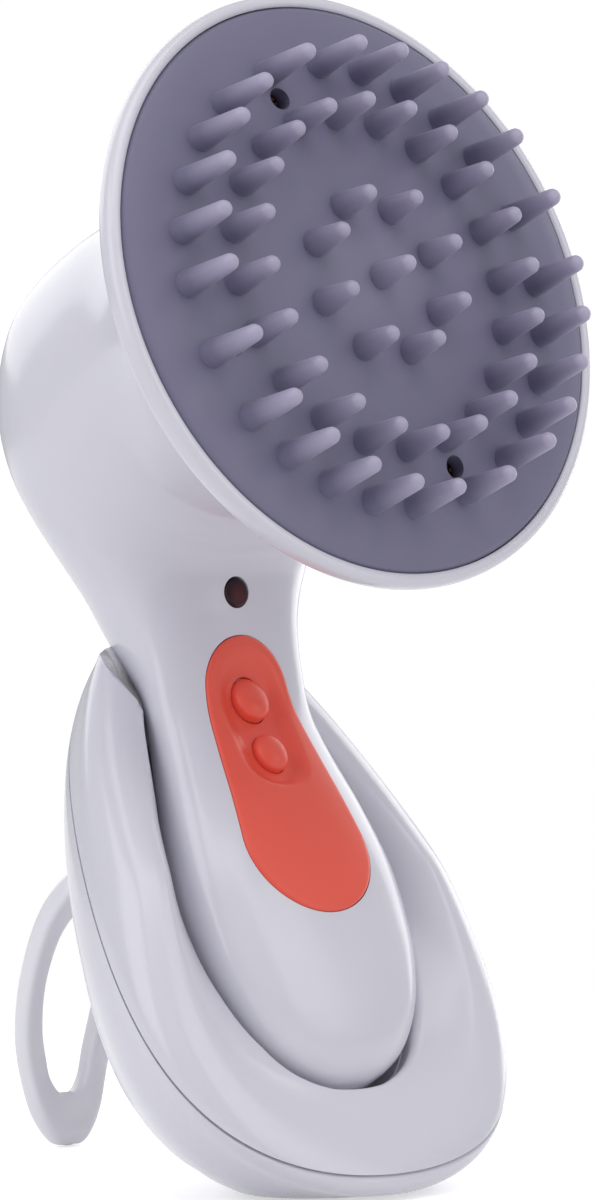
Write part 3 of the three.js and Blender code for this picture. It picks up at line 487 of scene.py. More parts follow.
def turn_stations():
    pivot = head_spot(PIVOT_DEPTH, -PIVOT_DROP)
    rows = []
    for turn, near, far, half in TURN:
        way = head_way(math.sin(math.radians(turn)), math.cos(math.radians(turn)))
        share = turn / TURN[-1][0]
        split = ROUND_SPLIT + (HANDLE_SPLIT - ROUND_SPLIT) * share
        square = 2 + (HANDLE_SQUARE - 2) * share
        rows.append([*(pivot + near * way), *(pivot + far * way), half, split, square])
    return rows


def handle_stations():
    rows = HANDLE + TIP_ROWS
    return [[h, front, h, back, half, HANDLE_SPLIT, HANDLE_SQUARE] for h, front, back, half in rows]


def section(station, inset, count):
    """One ring of the handset, in the stand's frame: flatter in front, round behind."""
    front, back = station[0:2], station[2:4]
    half, split, square = station[4:7]
    across = front - back
    length = max(float(np.hypot(*across)), 1e-6)
    way = across / length
    # where the section is small, the inset stops short of its middle
    room = min(inset, 0.42 * length, 0.8 * half)
    front, back, half = front - room * way, back + room * way, half - room
    length -= 2 * room
    middle = front + split * (back - front)
    turns = around(count)
    power = np.where(np.sin(turns) > 0, 2 / square, 1)
    wide = squared(np.cos(turns), power)
    deep = squared(np.sin(turns), power)
    reach = np.where(deep > 0, split, 1 - split) * length
    spots = middle + (deep * reach)[:, None] * way
    return np.column_stack([wide * half, spots])


def handset_form(name, inset=0, start=SKIRT_DEPTH + GAP, count=128, steps=5):
    stations = smooth(flare_stations(start) + turn_stations() + handle_stations(), steps)
    return loft(name, [from_stand(section(s, inset, count)) for s in stations])


def panel_outline(margin, count=240):
    """Points of the panel's edge, each with the point of its middle line that it belongs to."""
    top, bottom = PANEL_TOP - PANEL_TOP_RADIUS, PANEL_BOTTOM + PANEL_BOTTOM_RADIUS
    lean = math.asin((PANEL_BOTTOM_RADIUS - PANEL_TOP_RADIUS) / (top - bottom))
    quarter = count // 4

    def between(t):
        return top + (bottom - top) * t, PANEL_TOP_RADIUS + (PANEL_BOTTOM_RADIUS - PANEL_TOP_RADIUS) * t

    rows = [(top, PANEL_TOP_RADIUS, a) for a in np.linspace(lean, math.pi - lean, quarter, endpoint=False)]
    rows += [(*between(t), math.pi - lean) for t in np.linspace(0, 1, quarter, endpoint=False)]
    for a in np.linspace(math.pi - lean, 2 * math.pi + lean, quarter, endpoint=False):
        rows.append((bottom, PANEL_BOTTOM_RADIUS, a))
    rows += [(*between(t), lean) for t in np.linspace(1, 0, quarter, endpoint=False)]
    middle = np.array([(0, m) for m, _, _ in rows])
    edge = np.array([((r + margin) * math.cos(a), m + (r + margin) * math.sin(a)) for m, r, a in rows])
    return edge, middle


def stadium(half, low, high, count=72):
    """Outline with two round ends, upright in the (x, y) plane."""
    ends = ((high - half, np.linspace(0, math.pi, count // 2)),
            (low + half, np.linspace(math.pi, 2 * math.pi, count // 2)))
    return [(half * math.cos(a), middle + half * math.sin(a)) for middle, turns in ends for a in turns]


def tree_of(piece):
    """A search tree of the piece's faces, in the stand's frame and millimetres."""
    points = to_stand(np.array([v.co for v in piece.data.vertices]) / METRE)
    return BVHTree.FromPolygons(points.tolist(), [tuple(p.vertices) for p in piece.data.polygons])


def front_height(tree, x, y):
    spot = tree.ray_cast(Vector((x, y, RAY_START)), Vector((0, 0, -1)))[0]
    return spot.z


def dimple(x, y):
    """Depth of the trough round the buttons: 0 outside it, 1 on its floor."""
    (power_y, power_r), (mode_y, mode_r) = BUTTONS.values()
    low, high = mode_y - DIMPLE_ENDS[0], power_y + DIMPLE_ENDS[1]
    t = clamped((y - low) / (high - low))
    away = math.hypot(x, y - low - (high - low) * t)
    reach = mode_r + DIMPLE_MARGIN + (power_r - mode_r) * t
    # the trough is steeper at its lower end
    below = max(low - y, 0) / max(away, 0.01)
    edge = DIMPLE_EDGE * (1 - DIMPLE_STEEP * below * below)
    return eased(clamped((reach + edge - away) / edge))


def grip_panel(tree):
    edge, middle = panel_outline(0)
    inward = middle - edge
    length = np.hypot(*inward.T)[:, None]
    rounding = [(0, -0.5), (0, -0.12), (0.05, 0.06), (0.15, 0.19), (0.32, 0.29), (0.6, PANEL_PROUD)]
    loops = [(edge + inward / length * d, h) for d, h in rounding]
    start = loops[-1][0]
    for share in np.linspace(0, 1, 44)[1:]:
        loops.append((start + (middle - start) * share, PANEL_PROUD))
    rings = [[(0, m[1], front_height(tree, 0, m[1]) - PANEL_DEPTH) for m in middle]]
    rings.append([(x, y, front_height(tree, x, y) - PANEL_DEPTH) for x, y in edge])
    for spots, rise in loops:
        rings.append([(x, y, front_height(tree, x, y) + rise - DIMPLE_DEPTH * dimple(x, y))
                      for x, y in spots])
    piece = loft("grip_skin", [from_stand(ring) for ring in rings], caps=False)
    for y, radius in BUTTONS.values():
        cut(piece, post("well", radius + BUTTON_SLIT, 5, AHEAD, 0, 0, from_button(y), 72))
    return piece


def dome(name, height, radius):
    """A button: a flat-topped dome on a straight stem."""
    top = along(HANDLE, height, 1) + BUTTON_PROUD
    profile = [(0, top - STEM_DEPTH), (STEM_RADIUS, top - STEM_DEPTH), (STEM_RADIUS, top - BUTTON_SKIRT),
               (radius - 0.1, top - BUTTON_SKIRT)]
    power = 2 / BUTTON_SQUARE
    for t in np.linspace(0, 1, 20):
        rise = BUTTON_RISE * math.sin(t * math.pi / 2) ** power
        profile.append((radius * math.cos(t * math.pi / 2) ** power, top - BUTTON_RISE + rise))
    return lathe(name, profile, from_button(height), 72)


def from_button(height):
    """Places a round form on the handle, a little longer along it than across."""
    return shifted(from_stand, 0, height, 0, (1, BUTTON_STRETCH, 1))


def handset_shell():
    """The shell, and a search tree of its form before anything is cut out of it."""
    body = handset_form("handset_skin")
    tree = tree_of(body)
    edge = panel_outline(SKIN_FIT)[0]
    pocket = slice_of("pocket", edge, PANEL_FLOOR, AHEAD, from_stand)
    cut(pocket, handset_form("core", PANEL_DEPTH + PANEL_BEDDING))
    outline = stadium(COVER_HALF_WIDTH + GAP, COVER_ENDS[0] - GAP, COVER_ENDS[1] + GAP)
    opening = slice_of("opening", outline, BEHIND, COVER_LID, from_stand)
    cut(opening, handset_form("core", WALL))
    wells = [post("well", CONTACT_RADIUS + GAP, *CONTACT_WELL, x, CONTACT_HEIGHT, from_stand)
             for x in (-CONTACT_SPREAD, CONTACT_SPREAD)]
    wells.append(post("well", LENS_RADIUS + SKIN_FIT, *LENS_WELL, 0, 0, from_lens))
    cut(body, pocket, opening, *wells)
    return body, tree


def indicator_lens():
    profile = [(0, -LENS_DEPTH), (LENS_RADIUS, -LENS_DEPTH), (LENS_RADIUS, -0.3), (LENS_RADIUS * 0.97, -0.1)]
    for share in (0.88, 0.7, 0.5, 0.3, 0.15, 0):
        profile.append((LENS_RADIUS * share, LENS_CROWN * math.sqrt(1 - share ** 2)))
    return lathe("lens_cap", profile, from_lens, 64)


def rear_cover():
    body = handset_form("cover_skin")
    keep(body, slice_of("lid", stadium(COVER_HALF_WIDTH, *COVER_ENDS), BEHIND, COVER_LID - GAP, from_stand))
    cut(body, handset_form("core", WALL - GAP))
    for height in cover_screw_heights():
        cut(body, post("well", SCREW_WELL, BEHIND, along(HANDLE, height, 2) + 1, 0, height, from_stand))
    return body


def cover_screw_heights():
    return [COVER_ENDS[0] + COVER_SCREW_INSET, COVER_ENDS[1] - COVER_SCREW_INSET]


def head_skirt():
    outer = smooth([[r, -d] for d, r in FLARE[:5]], 6)[::-1]
    inside = PAD_RADIUS + 0.1
    lip = [(45.98, -2), (45.85, -1.45), (45.55, -1.1), (45.2, -0.92), (44.85, -0.86), (44.5, -0.9),
           (inside + 0.18, -1.02), (inside, -1.25)]
    inner = [(inside, -5.2), (41.1, -5.2), (41.1, -6.2), (36.6, -10), (33.8, -14)]
    return lathe("skirt_skin", [*map(tuple, outer), *lip, *inner], from_head, 192)


def pad_face(radius):
    """Height of the pad's face: a cone with a round top."""
    slope = PAD_CROWN / (FINGER_RINGS[0][0] + 2)
    if radius < PAD_ROUND:
        return PAD_CROWN - slope * PAD_ROUND / 2 - slope * radius * radius / (2 * PAD_ROUND)
    return PAD_CROWN - slope * radius


def finger(length, x, y, z):
    """One soft finger with a round tip."""
    profile = [(FINGER_ROOT + 0.1, -0.3), (FINGER_ROOT + 0.06, 0.1), (FINGER_ROOT, 1)]
    slope = (FINGER_ROOT - FINGER_TIP) / (length - FINGER_TIP - 1)
    for h in np.linspace(1, length - FINGER_TIP, 7)[1:]:
        profile.append((FINGER_ROOT - slope * (h - 1), h))
    for a in (20, 40, 60, 78):
        t = math.radians(a)
        profile.append((FINGER_TIP * math.cos(t), length - FINGER_TIP + FINGER_TIP * math.sin(t)))
    profile.append((0.02, length))
    return lathe("finger", profile, shifted(from_head, x, y, z), 24)


def ring_spots(ring, offsets):
    for quarter in range(4):
        for offset in offsets:
            turn = math.radians(QUARTER_MARK + 90 * quarter + offset)
            yield ring * math.cos(turn), ring * math.sin(turn)


def massage_pad():
    edge = pad_face(PAD_RADIUS)
    profile = [(0, -PAD_BACK), (PAD_RADIUS, -PAD_BACK), (PAD_RADIUS, edge - 0.9),
               (PAD_RADIUS - 0.1, edge - 0.5), (PAD_RADIUS - 0.4, edge - 0.18),
               (PAD_RADIUS - 0.9, pad_face(PAD_RADIUS - 0.9))]
    profile += [(r, pad_face(r)) for r in (40, 36, 32, 28, 24, 20, 16, 12, 8, 6, 4, 3, 2, 1, 0.02)]
    body = lathe("pad_skin", profile, from_head, 192)
    holes = [post("hole", SCREW_HOLE, -10, 10, x, y, from_head, 40) for x, y in ring_spots(SCREW_RING, [0])]
    cut(body, *holes)
    fingers = [finger(CENTRE_FINGER, 0, 0, pad_face(0))]
    for ring, length, offsets in FINGER_RINGS:
        fingers += [finger(length, x, y, pad_face(ring)) for x, y in ring_spots(ring, offsets)]
    return gather(body, *fingers)


# Stand forms
def egg_ring(scale, height, grow=0.0, count=192):
    """One ring of the egg, whose height changes toward its foot and its top by wedge, tilt and bow."""
    turns = around(count)
    t = np.sin(turns)
    near = np.sqrt(t * t + EGG_FOLD) - math.sqrt(EGG_FOLD)
    wide = 1 + EGG_TAPER * t + EGG_FULLNESS * t * t
    x = np.cos(turns) * (EGG_HALF_WIDTH * scale + grow) * wide
    reach = t * (EGG_LENGTH / 2 * scale + grow)
    y = EGG_MIDDLE + reach
    share = 1 + REAR_WEDGE * near if height < 0 else 1 - RIM_WEDGE * near
    bow = EGG_BOW * (1 - (2 * reach / EGG_LENGTH) ** 2)
    return np.column_stack([x, y, height * share + EGG_LIFT + EGG_TILT * y + bow])


def egg_form(name, levels, grow=0.0, steps=5):
    rows = smooth(levels, steps)
    return loft(name, [from_stand(egg_ring(scale, height, grow)) for height, scale in rows])


def bay_reach(height, clearance):
    """Half width of the bay and its place along the stand, at a height of the handle."""
    rows = smooth(sorted(CRADLE_TOP + HANDLE + TIP_ROWS), 4)
    near = max(0, (BAY_SHOULDER - height) / (BAY_SHOULDER - TIP_ROWS[-1][0]))
    return np.interp(height, rows[:, 0], rows[:, 3]) + clearance, height - clearance * near ** 0.5


def bay_ring(crest):
    """The bay's edge, point for point inside the crest of the rim."""
    drops = smooth(DISH_DROP, 6)
    foot = TIP_ROWS[-1][0]
    ring = []
    for turn, spot in zip(around(len(crest)), crest):
        t = math.sin(turn)
        half, y = bay_reach(foot + (DISH_TOP - foot) * (1 + t) / 2, CRADLE_CLEARANCE)
        reach = abs(spot[0])
        x = math.copysign(min(half, max(BAY_SHARE * reach, reach - BAY_RIM)), math.cos(turn))
        ring.append((x, y, spot[2] - np.interp(t, drops[:, 0], drops[:, 1])))
    return np.array(ring)


def rim_form():
    """The egg with its dish: over the crest, down to the bay's edge and round it."""
    levels = smooth(REAR_LEVELS + FRONT_LEVELS + CREST_LEVELS, 5)
    rings = [egg_ring(scale, height) for height, scale in levels]
    crest = rings[-1]
    edge = bay_ring(crest)

    upper = eased(np.clip(UPPER_RISE * np.sin(around(len(crest))), 0, 1))
    power = DISH_POWER[0] + DISH_POWER[1] * upper
    dish_end = DISH_END[0] + DISH_END[1] * upper

    def dish(part):
        share = part * dish_end
        spots = crest + (edge - crest) * share[:, None]
        spots[:, 2] = crest[:, 2] + (edge[:, 2] - crest[:, 2]) * share ** power
        return spots

    rings += [dish(part) for part in np.linspace(0, 1, 13)[1:]]
    start = rings[-1]
    low = edge.copy()
    low[:, 2] -= BAY_EDGE + BAY_ROLL * upper
    for t in np.linspace(0, 1, 10)[1:]:
        rings.append(start * (1 - t) ** 2 + edge * 2 * t * (1 - t) + low * t * t)
    rings.append(low - np.array([0, 0, BAY_SKIRT]))
    return loft("rim_skin", [from_stand(ring) for ring in rings])


def cradle_form(name, clearance, flared=False):
    """The room for the handle, open straight out of the rim. Flared, it widens beside the neck."""
    rings = []
    for height, front, back, half in smooth(CRADLE_TOP + HANDLE, 4):
        middle = back + CRADLE_TOP_MIDDLE
        if height <= HANDLE[0][0]:
            middle = front - HANDLE_SPLIT * (front - back)
        wide, deep = half + clearance, middle - back + clearance
        radius = along(BAY_FLARE, height, 1) if flared else 0
        top = along(BAY_FLARE_TOP, height, 1)
        side = [(wide * math.sin(t), middle - deep * math.cos(t)) for t in np.linspace(0, math.pi / 2, 33)]
        side += [(wide, z) for z in np.linspace(middle, max(middle + 1, top), 9)[1:]] + [(wide, ASIDE)]
        side = [(x + rounding(z, top, radius), z) for x, z in side]
        y = bay_reach(height, clearance)[1]
        rings.append(from_stand([(-x, y, z) for x, z in side[:0:-1]] + [(x, y, z) for x, z in side]))
    return loft(name, rings)


def rounding(z, top, radius):
    """How far a rounded edge stands back at a height, from its top down."""
    share = clamped((z - top + radius) / max(radius, 0.01))
    return radius * (1 - math.sqrt(1 - share * share))


def seam_block(front):
    """Everything in front of the seam, or behind it."""
    tilt = math.atan((SEAM[1] - SEAM[0]) / EGG_LENGTH)
    low, high = (SEAM_GAP / 2, ASIDE) if front else (-ASIDE, -SEAM_GAP / 2)

    def place(points):
        return from_stand(tilted(points, tilt) + np.array([0, 0, SEAM[0]]))

    return block("half", (-ASIDE, ALONG[0], low), (ASIDE, ALONG[1], high), place)


def stand_front_shell():
    """The rim and the dish in front of the seam, with the cradle's wall reaching back from them."""
    body = rim_form()
    room = cradle_form("room", CRADLE_CLEARANCE + STAND_WALL)
    keep(room, egg_form("inside", REAR_LEVELS + FRONT_LEVELS + [ROOM_LEVEL], -STAND_WALL - 2 * GAP, 2))
    keep(body, join(seam_block(True), room))
    cut(body, cradle_form("bay", CRADLE_CLEARANCE + BAY_SKIM, True))
    holes = [post("hole", PIN_HOLE, PIN_FOOT - 0.1, 4, x, CONTACT_HEIGHT, from_stand)
             for x in (-CONTACT_SPREAD, CONTACT_SPREAD)]
    return cut(body, *holes)


def foot_outline(margin):
    long, wide, _ = FOOT_SIZE
    return [(y, x) for x, y in stadium(wide / 2 + margin, -long / 2 - margin, long / 2 + margin)]


def ground(top):
    """Everything under a level plane."""
    return block("ground", (-80, -80, -60), (80, 120, top), same)


def hinge_ear(side):
    """One ear of the hinge, with the web that carries it."""
    ends = (side * (KICK_TOP_HALF + GAP), side * (KICK_TOP_HALF + GAP + EAR_THICKNESS))
    near, far = min(ends), max(ends)
    y, z = to_stand(HINGE)[1:]
    ear = post("ear", BARREL_RADIUS, near, far, 0, 0, from_hinge)
    web = block("web", (near, y - BARREL_RADIUS, z), (far, y + BARREL_RADIUS, z + EAR_WEB), from_stand)
    return soften(join(ear, web), 0.4, 3)


def stand_rear_shell():
    levels = REAR_LEVELS + FRONT_LEVELS
    body = egg_form("back_skin", levels)
    keep(body, seam_block(False))
    cut(body, ground(BASE_FLAT))
    inside = egg_form("inside", levels, -STAND_WALL, 2)
    cut(inside, ground(BASE_FLAT + STAND_WALL))
    bosses = [post("boss", BOSS_RADIUS, *BOSS_ENDS, x, y, from_stand) for x, y in STAND_SCREWS]
    bosses.append(post("boss", INLET_RADIUS + INLET_WALL, BOSS_ENDS[0], INLET_BOSS_END, 0, INLET_HEIGHT,
                       from_stand))
    cut(inside, *bosses)
    cut(body, inside)
    for side in (-1, 1):
        join(body, hinge_ear(side))
    reach = KICK_TOP_HALF + GAP
    tools = [post("well", BARREL_RADIUS + 2 * GAP, -reach, reach, 0, 0, from_hinge)]
    tools.append(post("bore", PIN_RADIUS + PIN_FIT, FAR_BEHIND, -FAR_BEHIND, 0, 0, from_hinge))
    tools += [post("well", SCREW_WELL, FAR_BEHIND, -BOSS_DEPTH, x, y, from_stand) for x, y in STAND_SCREWS]
    tools.append(post("well", INLET_RADIUS + GAP, FAR_BEHIND, INLET_WELL_END, 0, INLET_HEIGHT, from_stand))
    tools.append(slice_of("well", foot_outline(GAP), -1, FOOT_SIZE[2] + GAP, same))
    return cut(body, *tools)


# Kickstand
def kick_spot(x, z, out):
    """A point of the kickstand's sheet: across, down from the hinge, and out of the sheet's middle."""
    rows = smooth(np.array(KICK_CURVE)[::-1], 8)
    step = 0.6

    def curve(height):
        return np.interp(height, rows[:, 1], rows[:, 0])

    slope = curve(z + step) - curve(z - step)
    normal = np.array([2 * step, -slope]) / math.hypot(2 * step, slope)
    return HINGE + np.array([x, curve(z) + out * normal[0], z + out * normal[1]])


def kickstand():
    """A closed loop, ridged along its strands, with a rounded foot."""
    drop = KICK_PAD_PROUD - HINGE[2]
    # right halves of both edges from the top to the foot, with as many rows each
    outer = [(0, 1.4), (4.4, 1.4), (6.8, 0.8), (7.2, -1.8), (8.8, -4.8), (9.5, -10), (9.6, -19), (9, -29),
             (7.3, -37.5), (5.6, -42.4), (2.8, drop + 0.4), (0, drop)]
    inner = [(0, -6), (2.2, -6), (3.6, -6.8), (4.4, -8.2), (5.2, -10.4), (5.9, -14), (6.1, -20), (5.4, -27),
             (4.4, -32), (3.6, -35.4), (1.9, -37.9), (0, -38.2)]
    closed = [row + [(-x, z) for x, z in row[-2:0:-1]] for row in (outer, inner)]
    edges = [smooth(row + row[:1], 7)[:-1] for row in closed]
    rings = []
    for (ox, oz), (ix, iz) in zip(*edges):
        ring = []
        for t in around(32):
            w = 0.5 + 0.5 * squared(math.cos(t), KICK_SQUARE)
            ridge = 1 - KICK_RIDGE_FALL * abs(w - KICK_RIDGE) if math.sin(t) > 0 else 1
            out = KICK_THICKNESS / 2 * squared(math.sin(t), KICK_SQUARE) * ridge
            ring.append(kick_spot(ox + (ix - ox) * w, oz + (iz - oz) * w, out))
        rings.append(ring)
    rings.append(rings[0])
    band = loft("kick_loop", rings, caps=False)
    wide = KICK_PAD_HALF[0]
    outline = [(x * (wide + KICK_PAD_FIT) / wide, y) for x, y in kick_pad_outline()]
    cut(band, slice_of("pocket", outline, -1, KICK_PAD_TOP + 0.1, same))
    half = KICK_TOP_HALF
    profile = [(1.5, -half + 0.2), (1.8, -half), (BARREL_RADIUS, -half + 0.4), (BARREL_RADIUS, half - 0.4),
               (1.8, half), (1.5, half - 0.2)]
    return gather(band, lathe("barrel", profile, from_hinge, 64))


def kick_pad_outline():
    """Outline of the kickstand's foot pad on the ground."""
    wide, deep = KICK_PAD_HALF
    middle = HINGE[1] + KICK_CURVE[-1][0] + KICK_PAD_SHIFT
    return [(x, y + middle) for y, x in stadium(deep, -wide, wide)]


def rounded_bar(name, outline, low, high, place, width):
    return soften(slice_of(name, outline, low, high, place), width, 3, 50)


# Screws, contacts and other small pieces
def screw(name, place, turn=0.0, radius=1.8):
    """A pan head with a crossed recess, its top at height 0 and its shank below."""
    profile = [(0, -6.4), (0.9, -6.4), (0.9, -1.1), (radius, -1.1), (radius, -0.45), (radius * 0.86, -0.15),
               (radius * 0.6, 0), (0, 0)]
    piece = lathe(name, profile, place, 40)
    s, c = math.sin(turn), math.cos(turn)

    def turned(points):
        return place(np.asarray(points, float) @ np.array([[c, s, 0], [-s, c, 0], [0, 0, 1]]))

    wide, long = 0.2, radius * 0.62
    return cut(piece, block("slot", (-long, -wide, -0.6), (long, wide, 1), turned),
               block("slot", (-wide, -long, -0.6), (wide, long, 1), turned))


def contact(name, side, radius, face, depth, sign):
    """A round contact with its seat at that height, looking out of the stand or, with sign -1, into it."""
    profile = [(0, 0), (radius, 0), (radius, depth - 0.4), (radius - 0.12, depth - 0.12),
               (radius - 0.4, depth), (0, depth)]
    place = shifted(from_stand, side * CONTACT_SPREAD, CONTACT_HEIGHT, face, (1, sign, sign))
    return lathe(name, profile, place, 40)


def back_at(height, x):
    front, back, half = (along(HANDLE, height, column) for column in (1, 2, 3))
    middle = front - HANDLE_SPLIT * (front - back)
    return middle - (middle - back) * math.sqrt(1 - (x / half) ** 2)


def inlet_socket():
    profile = [(0, 6.5), (INLET_RADIUS, 6.5), (INLET_RADIUS, 0.4), (INLET_RADIUS - 0.4, 0), (2.1, 0),
               (1.75, 0.35), (1.75, 5), (0.6, 5), (0.6, 1.1), (0.35, 0.8), (0, 0.8)]
    return lathe("inlet_ring", profile, shifted(from_stand, 0, INLET_HEIGHT, INLET_FACE), 64)


def hinge_pin():
    half = KICK_TOP_HALF + GAP + EAR_THICKNESS
    profile = [(0, -half), (PIN_RADIUS - 0.35, -half), (PIN_RADIUS, -half + 0.35), (PIN_RADIUS, half - 0.35),
               (PIN_RADIUS - 0.35, half), (0, half)]
    return lathe("pin_rod", profile, from_hinge, 40)


# Materials
def node_material(name):
    material = bpy.data.materials.new(name)
    material.use_nodes = True
    tree = material.node_tree
    return material, tree, tree.nodes["Principled BSDF"]


def surface_place(tree):
    """The point of the surface, in its object's frame."""
    return tree.nodes.new("ShaderNodeTexCoord").outputs["Object"]


def noise(tree, scale, detail=2.0):
    texture = tree.nodes.new("ShaderNodeTexNoise")
    texture.inputs["Scale"].default_value = scale
    texture.inputs["Detail"].default_value = detail
    tree.links.new(surface_place(tree), texture.inputs["Vector"])
    return texture.outputs["Fac"]


def measured(tree, operation, point=(0, 0, 0)):
    """A number worked out from the point of the surface and another point."""
    node = tree.nodes.new("ShaderNodeVectorMath")
    node.operation = operation
    node.inputs[1].default_value = tuple(point)
    tree.links.new(surface_place(tree), node.inputs[0])
    return node.outputs["Value"]


def mix(tree, factor, low, high):
    """A colour between two, by a factor from 0 to 1."""
    node = tree.nodes.new("ShaderNodeMix")
    node.data_type = "RGBA"
    node.inputs["A"].default_value = (*low, 1)
    node.inputs["B"].default_value = (*high, 1)
    tree.links.new(factor, node.inputs["Factor"])
    return node.outputs["Result"]


def ranged(tree, value, low, high, to_low=0.0, to_high=1.0):
    node = tree.nodes.new("ShaderNodeMapRange")
    for socket, number in zip(("From Min", "From Max", "To Min", "To Max"), (low, high, to_low, to_high)):
        node.inputs[socket].default_value = number
    tree.links.new(value, node.inputs["Value"])
    return node.outputs["Result"]


def recolour(tree, shader, factor, colour):
    """Brings the shader's colour nearer to another, by a factor from 0 to 1."""
    node = tree.nodes.new("ShaderNodeMix")
    node.data_type = "RGBA"
    node.inputs["B"].default_value = (*colour, 1)
    tree.links.new(factor, node.inputs["Factor"])
    tree.links.new(shader.inputs["Base Color"].links[0].from_socket, node.inputs["A"])
    tree.links.new(node.outputs["Result"], shader.inputs["Base Color"])


def bump(tree, shader, height, strength, distance):
    node = tree.nodes.new("ShaderNodeBump")
    node.inputs["Strength"].default_value = strength
    node.inputs["Distance"].default_value = distance
    tree.links.new(height, node.inputs["Height"])
    tree.links.new(node.outputs["Normal"], shader.inputs["Normal"])


def moulded(name, low, high, roughness, grain, coat=0.0):
    """Moulded plastic or rubber: a faint drift of colour, uneven gloss and a fine grain."""
    material, tree, shader = node_material(name)
    tree.links.new(mix(tree, noise(tree, COLOUR_DRIFT), low, high), shader.inputs["Base Color"])
    rough = ranged(tree, noise(tree, GLOSS_DRIFT, 4), *NOISE_RANGE, *roughness)
    tree.links.new(rough, shader.inputs["Roughness"])
    bump(tree, shader, noise(tree, grain[0], 3), *grain[1:])
    shader.inputs["Coat Weight"].default_value = coat
    shader.inputs["Coat Roughness"].default_value = COAT_ROUGHNESS
    return material


def metal(name, low, high, roughness):
    material = moulded(name, low, high, roughness, (2400, 0.06, 0.0001))
    material.node_tree.nodes["Principled BSDF"].inputs["Metallic"].default_value = 1
    return material


def silicone():
    """Satin silicone with painted light: the fingers turn paler towards their tips, for light caught in the
    thin silicone.
    """
    material = moulded("silicone", (0.174, 0.163, 0.256), (0.19, 0.179, 0.277), (0.42, 0.52),
                       (2600, 0.12, 0.00012))
    tree = material.node_tree
    shader = tree.nodes["Principled BSDF"]
    base = float(PAD_CENTRE @ HEAD_AXES[2]) * METRE
    # painted light: a paler colour is mixed in towards the finger tips
    rise = ranged(tree, measured(tree, "DOT_PRODUCT", HEAD_AXES[2]), base + 0.0025, base + 0.0115)
    recolour(tree, shader, rise, (0.45, 0.415, 0.56))
    shader.inputs["Sheen Weight"].default_value = 0.15
    shader.inputs["Sheen Roughness"].default_value = 0.4
    return material


def lamp_window():
    """Dark red window with a painted glow: a little brighter round the lamp behind it."""
    material, tree, shader = node_material("lamp_window")
    lamp = from_lens([[0.2, -0.5, 0.4]])[0] * METRE
    # painted glow: the colour turns lighter red near the lamp
    near = ranged(tree, measured(tree, "DISTANCE", lamp), 0.0022, 0.0004)
    tree.links.new(mix(tree, near, (0.018, 0.006, 0.009), (0.075, 0.012, 0.018)), shader.inputs["Base Color"])
    rough = ranged(tree, noise(tree, 900), *NOISE_RANGE, 0.3, 0.38)
    tree.links.new(rough, shader.inputs["Roughness"])
    shader.inputs["Specular IOR Level"].default_value = 0.25
    return material


def board_green():
    """Solder mask with small pale pads."""
    material = moulded("board_green", (0.02, 0.11, 0.05), (0.03, 0.14, 0.06), (0.35, 0.45),
                       (1200, 0.05, 0.0001))
    tree = material.node_tree
    cells = tree.nodes.new("ShaderNodeTexVoronoi")
    cells.inputs["Scale"].default_value = 420
    tree.links.new(surface_place(tree), cells.inputs["Vector"])
    dots = ranged(tree, cells.outputs["Distance"], 0.24, 0.2)
    recolour(tree, tree.nodes["Principled BSDF"], dots, (0.6, 0.58, 0.5))
    return material


white = moulded("white_gloss", (0.70, 0.69, 0.765), (0.715, 0.705, 0.78), (0.25, 0.258),
                (420, 0.01, 0.0001), 0.4)
# The stand's white plastic, painted lighter for the kickstand: painted light on its shaded side.
white_painted_lighter = moulded("white_gloss_painted_lighter", (0.83, 0.82, 0.87), (0.85, 0.84, 0.89), (0.28, 0.288),
                (420, 0.01, 0.0001), 0.4)
orange = moulded("orange_soft", (0.84, 0.094, 0.058), (0.89, 0.107, 0.068), (0.36, 0.46), (2200, 0.1, 0.0001))
pale_rubber = moulded("pale_rubber", (0.6, 0.61, 0.64), (0.66, 0.67, 0.7), (0.5, 0.6), (1800, 0.1, 0.0002))
black_plastic = moulded("black_plastic", (0.012, 0.012, 0.013), (0.02, 0.02, 0.021), (0.35, 0.45),
                        (1500, 0.08, 0.0001))
grey_plastic = moulded("grey_plastic", (0.16, 0.165, 0.175), (0.2, 0.205, 0.215), (0.4, 0.5),
                       (1500, 0.06, 0.0001))
cell_wrap = moulded("cell_wrap", (0.03, 0.13, 0.21), (0.04, 0.16, 0.25), (0.2, 0.3), (700, 0.05, 0.0002), 0.3)
steel = metal("steel", (0.52, 0.53, 0.55), (0.62, 0.63, 0.65), (0.22, 0.34))
# Steel of the pad screws, painted dark brown for the shade in the holes they sit in.
steel_painted_shade = metal("steel_painted_shade", (0.07, 0.04, 0.035), (0.11, 0.065, 0.055), (0.45, 0.6))
gold = metal("contact_gold", (0.78, 0.55, 0.22), (0.85, 0.62, 0.28), (0.18, 0.28))
pad_material = silicone()
window = lamp_window()
board = board_green()


# Building
def build_head():
    dress(head_skirt(), "handset", white, "white_gloss", "head_skirt")
    dress(massage_pad(), "handset", pad_material, "silicone", "massage_pad", crease=60)
    for k, (x, y) in enumerate(ring_spots(SCREW_RING, [0])):
        piece = screw(f"pad_fixing_{k + 1}", shifted(from_head, x, y, -PAD_BACK + 1.5), 0.5 + k, 1.45)
        dress(piece, "handset", steel_painted_shade, "steel", f"pad_screw_{k + 1}")


def facing_back(x, y, z):
    """Places a screw on the back of the handset or the stand, its head outward."""
    return shifted(from_stand, x, y, z, (1, -1, -1))


